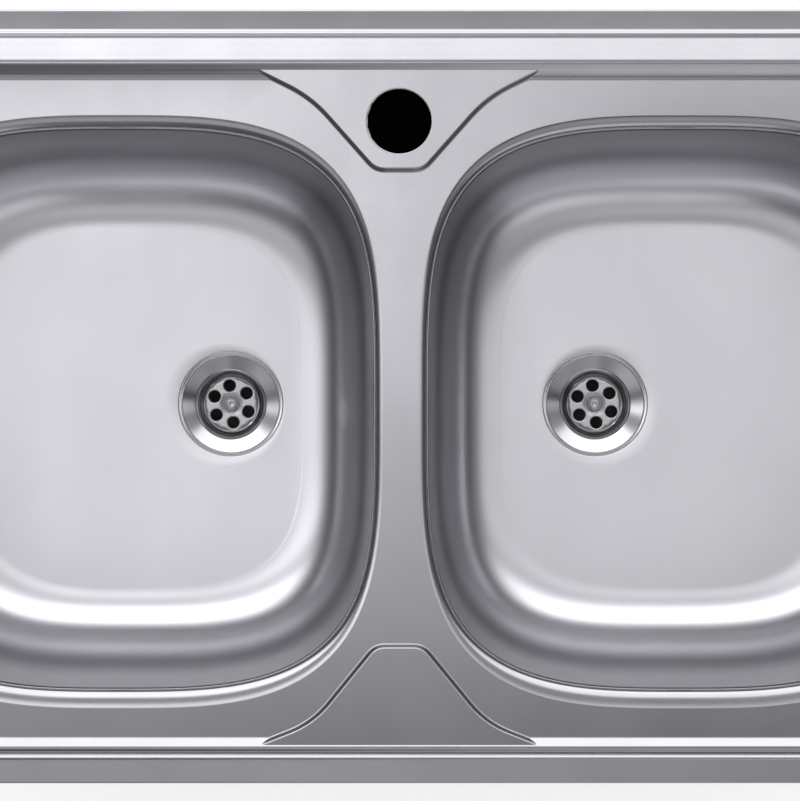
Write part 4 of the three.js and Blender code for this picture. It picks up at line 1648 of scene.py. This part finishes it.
    def plate(self, tree: NodeTree) -> bpy.types.Object:
        """The strainer plate with its six rolled holes.

        Args:
            tree: The rule of turned copies.

        Returns:
            The piece.
        """
        drain = FORM.drain(self.side)
        made = tree.grow(
            f"{self.name}_strainer_plate", self.sector(), Copies=self.holes,
            Start_Angle=math.radians(self.hole_start), X=drain[0] * MM, Y=drain[1] * MM, Z=self.plate_z * MM,
            Material=POLISHED.material(),
        )
        with_wall(made, self.gauge)
        return seat(made, "sink", "polished_steel")

    def screw(self) -> bpy.types.Object:
        """The domed screw that pulls the waste together.

        Returns:
            The piece.
        """
        low = self.plate_z - self.dimple_drop - self.well_drop + 0.1
        shank, head, end = self.screw_radius, self.head_radius, self.screw_end
        profile = [
            (0.0, end), (shank - 0.8, end), (shank, end + 0.8), (shank, low), (head, low), (head, low + 1.2),
            (3.9, low + 1.8), (2.4, low + 2.6), (1.9, low + 2.6), (0.9, low + 2.1), (0.0, low + 2.05),
        ]
        line = rounded(profile, 0.3, 4)
        made = turned(f"{self.name}_plate_screw", line, FORM.drain(self.side), POLISHED.material(), 64)
        return seat(made, f"{self.name}_screw", "polished_steel", f"{self.name}_strainer_screw")

    def washer_ring(
        self, name: str, profile: list[tuple[float, float]], body: str, node: str
    ) -> bpy.types.Object:
        """A rubber ring with rounded edges.

        Args:
            name: The end of the piece's name.
            profile: [radius, z] points of its section.
            body: The body that it rides on.
            node: The end of its CAD node's name.

        Returns:
            The piece.
        """
        line = rounded([*profile, profile[0], profile[1]], 0.4, 3)[1:]
        made = turned(f"{self.name}_{name}", line, FORM.drain(self.side), BLACK_RUBBER.material(), 128)
        return seat(made, body, "black_rubber", f"{self.name}_{node}")

    def body(self) -> bpy.types.Object:
        """The moulded waste body: gusseted flange, funnel and threaded tail.

        Returns:
            The piece.
        """
        radius, bore, low, high = self.tail_radius, self.tail_bore, self.tail_end, self.thread_top
        tail = [(radius, z) for z in np.arange(low + 0.7, high, self.tail_pitch / 6)]
        outside = rounded([
            (radius, high), (radius, self.neck_z), (25.0, -192.0), (26.7, -184.0), (27.8, -176.0),
            (28.6, -173.8), (33.9, -173.7), (33.9, -170.3), (24.2, -170.3), (23.2, -184.0), (bore, -194.0),
            (bore, low),
        ], 1.2, 4)
        profile = [(bore, low), (radius - 0.7, low), *tail, *outside[:-1]]
        cut = thread(radius, self.thread_depth, self.tail_pitch, low, high)

        def swell(places: np.ndarray, angle: np.ndarray, z: np.ndarray) -> np.ndarray:
            """The tail's thread, and gussets under the flange.

            Args:
                places: The radius of each vertex.
                angle: Its angle.
                z: Its height.

            Returns:
                What is added to each radius.
            """
            rib = smoothstep((np.cos(angle * self.gussets) - self.gusset_from) / self.gusset_ease)
            under = smoothstep((z - self.gusset_z) / self.gusset_rise) * (z < self.gusset_top)
            return cut(places, angle, z) + rib * under * (places > self.gusset_root) * self.gusset_reach

        made = turned(
            f"{self.name}_waste_tail", profile, FORM.drain(self.side), WHITE_PLASTIC.material(), 384, swell
        )
        return seat(made, "sink", "white_plastic", f"{self.name}_waste_body")

    def spider(self, tree: NodeTree) -> bpy.types.Object:
        """The three ribs that hold the boss and stand between the strainer's holes.

        Args:
            tree: The rule of turned copies.

        Returns:
            The piece.
        """
        drain = FORM.drain(self.side)
        outline = np.array([(-1.3, -10.0), (1.3, -10.0), (1.1, -0.2), (0.8, 0.0), (-0.8, 0.0), (-1.1, -0.2)])
        vertices, faces = extruded(outline, *self.rib_span)
        mesh = bpy.data.meshes.new("rib")
        mesh.from_pydata((vertices * MM).tolist(), [], faces)
        made = tree.grow(
            f"{self.name}_waste_ribs", mesh, Copies=self.ribs,
            Start_Angle=math.radians(self.hole_start - 180.0 / self.holes), X=drain[0] * MM,
            Y=drain[1] * MM, Z=self.rib_top * MM, Material=WHITE_PLASTIC.material(),
        )
        return seat(plain_mesh(made), "sink", "white_plastic")

    def boss(self) -> bpy.types.Object:
        """The boss of the waste body, round the brass insert.

        Returns:
            The piece.
        """
        profile = rounded([
            (3.8, -191.5), (7.6, -191.5), (8.0, -176.0), (7.6, -175.5), (5.7, -175.5), (5.7, -189.5),
            (3.8, -189.5), (3.8, -191.5),
        ], 0.4, 3)[:-1]
        made = turned(f"{self.name}_waste_boss", profile, FORM.drain(self.side), WHITE_PLASTIC.material(), 64)
        return seat(made, "sink", "white_plastic")

    def nut(self) -> bpy.types.Object:
        """The coupling nut, with its lugs and a fine grip between them.

        Returns:
            The piece.
        """
        low, high = self.tail_end - self.nut_drop, self.tail_end + self.nut_rise
        outer, bore, pipe = self.nut_radius, self.nut_bore, self.pipe_radius
        wall = [(outer, z) for z in np.linspace(low + 1.0, high - 1.2, 40)]
        profile = [
            (pipe, low), (outer - 0.9, low), (outer - 0.3, low + 0.3), *wall, (outer - 0.3, high - 0.5),
            (outer - 0.9, high), (bore + 0.7, high), (bore, high - 0.7), (bore, low + 3.0), (pipe, low + 3.0),
        ]

        def swell(places: np.ndarray, angle: np.ndarray, z: np.ndarray) -> np.ndarray:
            """Lugs, and grip ribs between them.

            Args:
                places: The radius of each vertex.
                angle: Its angle.
                z: Its height.

            Returns:
                What is added to each radius.
            """
            turn = np.degrees(angle) % (360.0 / self.lugs) - 180.0 / self.lugs
            lug = smoothstep((self.lug_angle - np.abs(turn)) / 2.0)
            long = smoothstep((z - low - 1.0) / 1.4) * smoothstep((high - 4.2 - z) / 1.4)
            grip = smoothstep((z - low - 2.5) / 1.5) * smoothstep((high - 2.5 - z) / 1.5)
            ribs = np.cos(angle * self.grip_count) * self.grip_depth - self.grip_depth
            both = lug * long * self.lug_reach + ribs * grip * (1.0 - lug)
            return (places > outer - SAME_RADIUS) * both

        made = turned(
            f"{self.name}_lugged_nut", profile, FORM.drain(self.side), WHITE_PLASTIC.material(), 432, swell
        )
        return seat(made, f"{self.name}_nut", "white_plastic", f"{self.name}_coupling_nut")

    def build(self, tree: NodeTree) -> None:
        """Every piece of the waste.

        Args:
            tree: The rule of turned copies.
        """
        self.cup()
        self.plate(tree)
        self.screw()
        self.body()
        self.spider(tree)
        self.boss()
        self.nut()
        low, pipe = self.tail_end - 2.7, self.pipe_radius
        cone = [(pipe, low), (23.3, low), (23.3, low + 1.6), (22.6, low + 2.4), (pipe, low + 2.4)]
        self.washer_ring("pipe_washer", cone, f"{self.name}_washer", "cone_washer")
        wedge = [(26.9, -169.9), (33.1, -169.9), (33.1, -166.1), (26.9, -168.4)]
        self.washer_ring("bowl_gasket", wedge, "sink", "base_gasket")


# ---- Clips -----------------------------------------------------------------------------


def extruded(outline: np.ndarray, low: float, high: float) -> tuple[np.ndarray, list[tuple[int, ...]]]:
    """A bar of one outline in Y and Z, given anticlockwise as seen from +X, from one X to another.

    Args:
        outline: The outline, as [y, z].
        low: Where it starts.
        high: Where it ends.

    Returns:
        Its vertices and its faces.
    """
    count = len(outline)
    ends = [np.column_stack([np.full(count, x), outline]) for x in (low, high)]
    faces = [(i, (i + 1) % count, (i + 1) % count + count, i + count) for i in range(count)]
    faces += [tuple(range(count))[::-1], tuple(range(count, 2 * count))]
    return np.vstack(ends), [face[::-1] if len(face) == 4 else face for face in faces]


def cut_from(made: bpy.types.Object, *cutters: bpy.types.Object) -> bpy.types.Object:
    """Cuts pieces out of an object and removes them.

    Args:
        made: The object.
        *cutters: What is cut out of it.

    Returns:
        The same object.
    """
    for cutter in cutters:
        cut = made.modifiers.new("cut", "BOOLEAN")
        cut.operation, cut.solver, cut.object = "DIFFERENCE", "EXACT", cutter
    plain_mesh(made)
    for cutter in cutters:
        bpy.data.objects.remove(cutter)
    return made


SHARP_ANGLE = math.radians(35)


def softened(made: bpy.types.Object, width: float) -> bpy.types.Object:
    """Bevels the sharp edges of an object, by a width in millimetres.

    Args:
        made: The object.
        width: How broad the bevels are.

    Returns:
        The same object.
    """
    bevel = made.modifiers.new("soft_edges", "BEVEL")
    bevel.width, bevel.segments = width * MM, 2
    bevel.limit_method, bevel.angle_limit = "ANGLE", SHARP_ANGLE
    return plain_mesh(made)


@dataclass
class Clips:
    """The eight fixing clips, modelled once about their own axis, with local +Y to the rim's edge.

    Attributes:
        places: Each clip's X, Y, quarter turns from +Y, and the reach of its claw.
        screw_radius, pitch, thread_depth: The screw's thread.
        bore, claw_bore: The radius of the holes for the screw in the bracket and in the claw.
        slot_half: Half the width of the slot in the screw's head.
        tab_top, tab_low: The top and underside of the bracket's lower flange.
        bracket_half: Half the bracket's length.
        blade_half, blade_end: Half the width and the lower end of the guide blade.
        blade_span: The blade's two faces, from the screw's axis.
        collar_low: The lower end of the threaded collar.
        claw_bottom, claw_height, half_width: The claw's underside, the height of its middle, and half its
            width.
        grip_z: The claw's grip, in height at rest.
        track: The claw's opening for the blade, as [start, end] across and half its width.
        notches, notch_half: Where the notches of the grip lie, and half the width of each.
    """

    places: tuple[tuple[float, float, int, float], ...] = (
        (-174.2, 186.3, 0, 46.7), (174.2, 186.3, 0, 46.7), (351.65, 107.1, 3, 31.35),
        (351.65, -122.9, 3, 31.35), (174.2, -201.25, 2, 31.75), (-174.2, -201.25, 2, 31.75),
        (-351.65, -122.9, 1, 31.35), (-351.65, 107.1, 1, 31.35),
    )
    screw_radius: float = 3.0
    pitch: float = 1.0
    thread_depth: float = 0.5
    bore: float = 3.1
    slot_half: float = 0.65
    tab_top: float = -14.4
    tab_low: float = -15.9
    bracket_half: float = 8.0
    blade_half: float = 4.0
    blade_end: float = -54.0
    blade_span: tuple[float, float] = (5.5, 7.0)
    collar_low: float = -18.9
    claw_bottom: float = -52.0
    claw_height: float = 5.5
    half_width: float = 7.0
    grip_z: float = -42.0
    claw_bore: float = 3.3
    track: tuple[float, float, float] = (-7.3, -5.2, 4.3)
    notches: tuple[float, ...] = (-3.5, 0.0, 3.5)
    notch_half: float = 0.6

    def bracket(self) -> bpy.types.Mesh:
        """The folded bracket, its guide blade and its threaded collar.

        Returns:
            The mesh, in metres.
        """
        zinc = ZINC.material()
        low, top, half, end, bore = self.tab_low, self.tab_top, self.blade_half, self.blade_end, self.bore
        inside_flange = low + 0.9
        fold = rounded([
            (0.0, low), (7.0, low), (7.0, top), (-5.5, top), (-5.5, -0.1), (7.0, -0.1), (7.0, 1.4),
            (-7.0, 1.4), (-7.0, low), (0.0, low),
        ], [0.5, 0.5, 1.2, 1.2, 0.5, 0.5, 2.4, 2.4], 4)[:-1]
        channel = mesh_object("channel", *extruded(fold, -self.bracket_half, self.bracket_half), zinc)
        blade_line = rounded([
            (0.0, end), (half, end), (half, inside_flange), (-half, inside_flange), (-half, end), (0.0, end)
        ], [2.4, 0.1, 0.1, 2.4], 5)[:-1]
        vertices, faces = extruded(blade_line, *self.blade_span)
        blade = mesh_object("blade", vertices[:, [1, 0, 2]] * [1, -1, 1], faces, zinc)
        collar_line = rounded([
            (bore, self.collar_low), (5.5, self.collar_low), (5.5, inside_flange), (bore, inside_flange),
            (bore, self.collar_low),
        ], [0.5, 0.1, 0.1], 3)[:-1]
        collar = turned("collar", collar_line, (0.0, 0.0), zinc, 48)
        for piece in (channel, blade):
            softened(piece, 0.3)
        cut_from(channel, self.hole_cutter(bore, -30.0, -10.0))
        return self.joined("clip_bracket_form", channel, blade, collar)

    def hole_cutter(self, radius: float, low: float, high: float) -> bpy.types.Object:
        """A round bar on the screw's axis, for cutting a hole."""
        profile = [(0.0, low), (radius, low), (radius, high), (0.0, high)]
        return turned("hole_cutter", profile, (0.0, 0.0), ZINC.material(), 48)

    def joined(self, name: str, *pieces: bpy.types.Object) -> bpy.types.Mesh:
        """One mesh of several pieces, which are removed.

        Args:
            name: The mesh's name.
            *pieces: The pieces.

        Returns:
            The mesh, in metres.
        """
        mesh = bpy.data.meshes.new(name)
        vertices, faces = [], []
        for piece in pieces:
            faces += [[i + len(vertices) for i in face.vertices] for face in piece.data.polygons]
            vertices += [vertex.co[:] for vertex in piece.data.vertices]
            bpy.data.objects.remove(piece)
        mesh.from_pydata(vertices, [], faces)
        return mesh

    def screw(self) -> bpy.types.Mesh:
        """The clip's machine screw: a threaded shank and a slotted cheese head.

        Returns:
            The mesh, in metres.
        """
        radius, top, head = self.screw_radius, self.tab_top, self.claw_bottom - 0.3
        shank = [(radius, z) for z in np.arange(head + 0.2, top - 0.6, self.pitch / 5)]
        profile = [
            (0.0, head - 4.0), (4.0, head - 4.0), (4.7, head - 3.7), (5.0, head - 3.1), (5.0, head - 0.3),
            (4.8, head), (radius + 0.2, head), *shank, (radius - 0.7, top), (0.0, top),
        ]
        cut = thread(radius, self.thread_depth, self.pitch, head + 1.0, top + 0.5)
        screw = turned("screw", profile, (0.0, 0.0), ZINC.material(), 40, cut)
        outline = np.array([(-6.0, head - 5.0), (6.0, head - 5.0), (6.0, head - 2.6), (-6.0, head - 2.6)])
        slot = mesh_object("slot", *extruded(outline, -self.slot_half, self.slot_half), ZINC.material())
        return self.joined("clip_screw_form", cut_from(screw, slot))

    def claw(self, reach: float) -> bpy.types.Mesh:
        """The claw, which slides on the blade and grips below the worktop.

        Args:
            reach: How far it reaches towards the rim's edge.

        Returns:
            The mesh, in metres.
        """
        low, top = self.claw_bottom, self.claw_bottom + self.claw_height
        arm, rest = top - 3.0, self.grip_z
        line = rounded([
            (0.0, low), (5.0, low), (7.5, arm), (reach, arm), (reach, rest), (reach - 2.5, rest),
            (reach - 2.5, top), (-9.8, top), (-9.8, low), (0.0, low),
        ], [1.0, 1.5, 2.2, 0.8, 0.5, 1.4, 0.9, 0.9], 4)[:-1]
        zinc = ZINC.material()
        claw = mesh_object("claw", *extruded(line, -self.half_width, self.half_width), zinc)
        softened(claw, 0.5)
        start, end, half = self.track
        below, above = low - 1.0, top + 1.0
        track_line = np.array([(start, below), (end, below), (end, above), (start, above)])
        track = mesh_object("track", *extruded(track_line, -half, half), zinc)
        cutters = [track, self.hole_cutter(self.claw_bore, below, above)]
        notch = np.array([(-3.5, -0.9), (1.0, -0.9), (1.0, 1.0), (-3.5, 1.0)]) + [reach, rest]
        for x in self.notches:
            bar = extruded(notch, x - self.notch_half, x + self.notch_half)
            cutters.append(mesh_object("notch", *bar, zinc))
        return self.joined("clip_claw_form", cut_from(claw, *cutters))

    def place_tree(self) -> NodeTree:
        """Sets a form at its place, turned about the vertical.

        Returns:
            The tree.
        """
        tree = NodeTree("clip_place")
        x, y, turn = tree.number("X"), tree.number("Y"), tree.number("Turn")
        placed = tree.node(
            "GeometryNodeTransform", Geometry=tree.entry(), Translation=tree.vector(x, y, 0.0),
            Rotation=tree.vector(0.0, 0.0, turn),
        )
        tree.close(placed)
        return tree

    def build(self) -> None:
        """Brackets, screws and claws at all eight places."""
        tree = self.place_tree()
        bracket, screw = self.bracket(), self.screw()
        claws = {reach: self.claw(reach) for reach in sorted({place[3] for place in self.places})}
        for number, (x, y, quarter, reach) in enumerate(self.places, 1):
            kinds = (
                ("bracket", bracket, "sink"), ("screw", screw, f"clamp_screw_{number}"),
                ("claw", claws[reach], f"claw_{number}"),
            )
            for kind, form, body in kinds:
                made = tree.grow(
                    f"fixing_{kind}_{number}", form.copy(), X=x * MM, Y=y * MM, Turn=quarter * math.pi / 2,
                    Material=ZINC.material(),
                )
                seat(plain_mesh(made), body, "zinc_plate", f"clip_{kind}_{number}")


# ---- Carried-over CAD pieces -------------------------------------------------------------


CAD_FINISHES: dict[str, Steel | Plain] = {
    "rim_seal": GREY_FOAM, "tap_stiffener": ZINC, "sound_pad": BITUMEN, "top_seal": BLACK_RUBBER,
    "threaded_insert": BRASS,
}


def dress_cad() -> None:
    """Gives each CAD node that still shows and whose name holds a listed key the finish of what it is."""
    for name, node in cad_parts.items():
        if node.hide_render:
            continue
        finish = next((made for key, made in CAD_FINISHES.items() if key in name), None)
        if finish is not None:
            for slot in node.material_slots:
                slot.material = finish.material()
        log.info("%s keeps its CAD shape", name)


# ---- Studio ----------------------------------------------------------------------------


@dataclass(frozen=True)
class Panel:
    """A soft-edged field of the studio's sky, in degrees from straight up.

    Attributes:
        back: The angles towards the back where it starts, is full, is last full and ends.
        right: The same towards the right.
        light: How much light it adds, or keeps off where it is below 0.
    """

    back: tuple[float, float, float, float]
    right: tuple[float, float, float, float]
    light: float

    def glow(self, back: Field, right: Field) -> Field:
        """The light that the panel gives a direction.

        Args:
            back: Its angle towards the back.
            right: Its angle towards the right.

        Returns:
            The light.
        """
        share = None
        for angle, (start, full, last, end) in ((back, self.back), (right, self.right)):
            band = angle.eased(start, full) * angle.eased(end, last)
            share = band if share is None else share * band
        return share * self.light


@dataclass
class Studio:
    """The camera, the light and the floor.

    Attributes:
        sensor, view_end: The camera's film width in millimetres, and how far it sees in metres.
        floor_drop: How far below the object the floor lies.
        shadow_edge_x, shadow_edge_y: How far from the middle the floor's glow starts and is full, in metres;
            within them it fades out as a painted shadow under the sink.
        sky, tint: The light of the whole sky, and its colour.
        tap_hole_shade_radius, tap_hole_shade_z: The black backdrop under the tap hole, a painted shade.
    """

    camera_x: float = -0.62
    camera_y: float = -2.54
    camera_z: float = 2131.0
    lens: float = 154.33
    sensor: float = 36.0
    view_end: float = 100.0
    floor_size: float = 9000.0
    floor_glow: float = 0.72
    floor_drop: float = 0.2
    shadow_edge_x: tuple[float, float] = (0.32, 0.40)
    shadow_edge_y: tuple[float, float] = (0.19, 0.262)
    tap_hole_shade_radius: float = 29.0
    tap_hole_shade_z: tuple[float, float] = (1.0, 2.0)
    tint: tuple[float, float, float] = (0.97, 0.965, 1.0)
    sky: float = 0.12
    panels: tuple[Panel, ...] = (
        Panel((-8.0, 4.5, 8.5, 13.0), (-60.0, -30.0, 30.0, 60.0), 1.38),
        Panel((10.0, 14.0, 28.0, 32.0), (-66.0, -28.0, 28.0, 66.0), 0.24),
        Panel((25.0, 29.5, 66.0, 82.0), (-66.0, -28.0, 28.0, 66.0), 1.45),
        Panel((42.0, 52.0, 60.0, 72.0), (-66.0, -28.0, 28.0, 66.0), 0.25),
        Panel((25.0, 29.5, 42.0, 48.0), (-60.0, -30.0, -7.0, 3.0), 0.48),
        Panel((-2.0, 5.0, 10.0, 14.0), (-60.0, -30.0, -8.0, -4.5), 0.36),
        Panel((-44.0, -30.0, -20.0, -9.0), (-60.0, -30.0, 2.0, 9.0), 0.42),
        Panel((-44.0, -30.0, -20.0, -9.0), (2.0, 9.0, 30.0, 60.0), 0.26),
        Panel((-88.0, -66.0, -48.0, -36.0), (-7.0, 6.0, 40.0, 70.0), 0.62),
        Panel((0.0, 4.0, 9.0, 14.0), (0.5, 4.5, 40.0, 60.0), -0.62),
        Panel((1.0, 4.0, 8.0, 12.0), (2.0, 4.0, 5.8, 8.0), -0.60),
        Panel((-14.0, -9.0, -6.0, -2.0), (-5.0, 6.0, 30.0, 60.0), -0.18),
    )

    def camera(self) -> None:
        """A camera straight above the sink."""
        data = bpy.data.cameras.new("camera")
        data.lens = self.lens
        data.sensor_width = self.sensor
        data.clip_end = self.view_end
        made = bpy.data.objects.new("camera", data)
        made.location = Vector((self.camera_x, self.camera_y, self.camera_z)) * MM
        bpy.context.scene.collection.objects.link(made)
        bpy.context.scene.camera = made

    def light(self) -> None:
        """A soft sky of panels above and behind the sink."""
        world = bpy.data.worlds.new("studio")
        world.use_nodes = True
        bpy.context.scene.world = world
        tree = world.node_tree
        place = tree.nodes.new("ShaderNodeTexCoord")
        apart = tree.nodes.new("ShaderNodeSeparateXYZ")
        tree.links.new(place.outputs["Generated"], apart.inputs[0])
        x, y, z = (Field(tree, output) for output in apart.outputs)
        back, right = (across.math("ARCTAN2", z) * (180.0 / math.pi) for across in (y, x))
        total = self.panels[0].glow(back, right) + self.sky
        for panel in self.panels[1:]:
            total = total + panel.glow(back, right)
        background = tree.nodes["Background"]
        background.inputs["Color"].default_value = (*self.tint, 1.0)
        tree.links.new(total.socket, background.inputs["Strength"])
        bpy.context.scene.view_settings.view_transform = "Standard"

    def floor(self) -> None:
        """A pale floor just below the wastes that glows, with its glow faded out under the sink as a painted
        shadow.
        """
        surface = Surface("pale_floor")
        mottle = noise(surface.tree, 3.0, 3.0)
        surface.colours(((0.55, 0.55, 0.56), None), ((0.52, 0.52, 0.53), mottle))
        surface.set(Roughness=0.9, Emission_Strength=self.floor_glow)
        x, y, _ = surface.place_in_object()
        # The glow is taken away under the sink, as a painted shadow.
        glow_beside = x.math("ABSOLUTE").eased(*self.shadow_edge_x)
        glow_before = y.math("ABSOLUTE").eased(*self.shadow_edge_y)
        surface.feed("Emission Color", glow_beside.math("MAXIMUM", glow_before))
        half, z = self.floor_size / 2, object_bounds()[0].z / MM - self.floor_drop
        corners = [(-half, -half, z), (half, -half, z), (half, half, z), (-half, half, z)]
        made = mesh_object("floor", np.array(corners), [(0, 1, 2, 3)], surface.material)
        made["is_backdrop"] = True

    def tap_hole_shade(self) -> None:
        """A matt black backdrop under the tap hole, painted shade seen through it, which the photograph shows
        as black.
        """
        surface = Surface("dark_backdrop")
        mottle = noise(surface.tree, 200.0, 2.0)
        surface.colours(((0.001, 0.001, 0.001), None), ((0.002, 0.002, 0.002), mottle))
        surface.set(Roughness=1.0, Specular_IOR_Level=0.0)
        low, high = self.tap_hole_shade_z
        profile = [(0.0, low), (self.tap_hole_shade_radius, low), (self.tap_hole_shade_radius, high), (0.0, high)]
        made = turned("tap_hole_shade_backdrop", profile, (FORM.tap_x, FORM.tap_y), surface.material, 48)
        made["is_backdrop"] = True

    def build(self) -> None:
        """The whole studio."""
        self.camera()
        self.light()
        self.floor()
        self.tap_hole_shade()


def main() -> None:
    """Builds the sink piece by piece, then the studio."""
    logging.basicConfig(level=logging.INFO, format="%(name)s: %(message)s")
    Deck().build()
    Bowls().build()
    wastes = [Waste(side) for side in Side]
    plate_tree = wastes[0].plate_tree()
    for waste in wastes:
        waste.build(plate_tree)
    Clips().build()
    dress_cad()
    Studio().build()


if __name__ == "__main__":
    main()
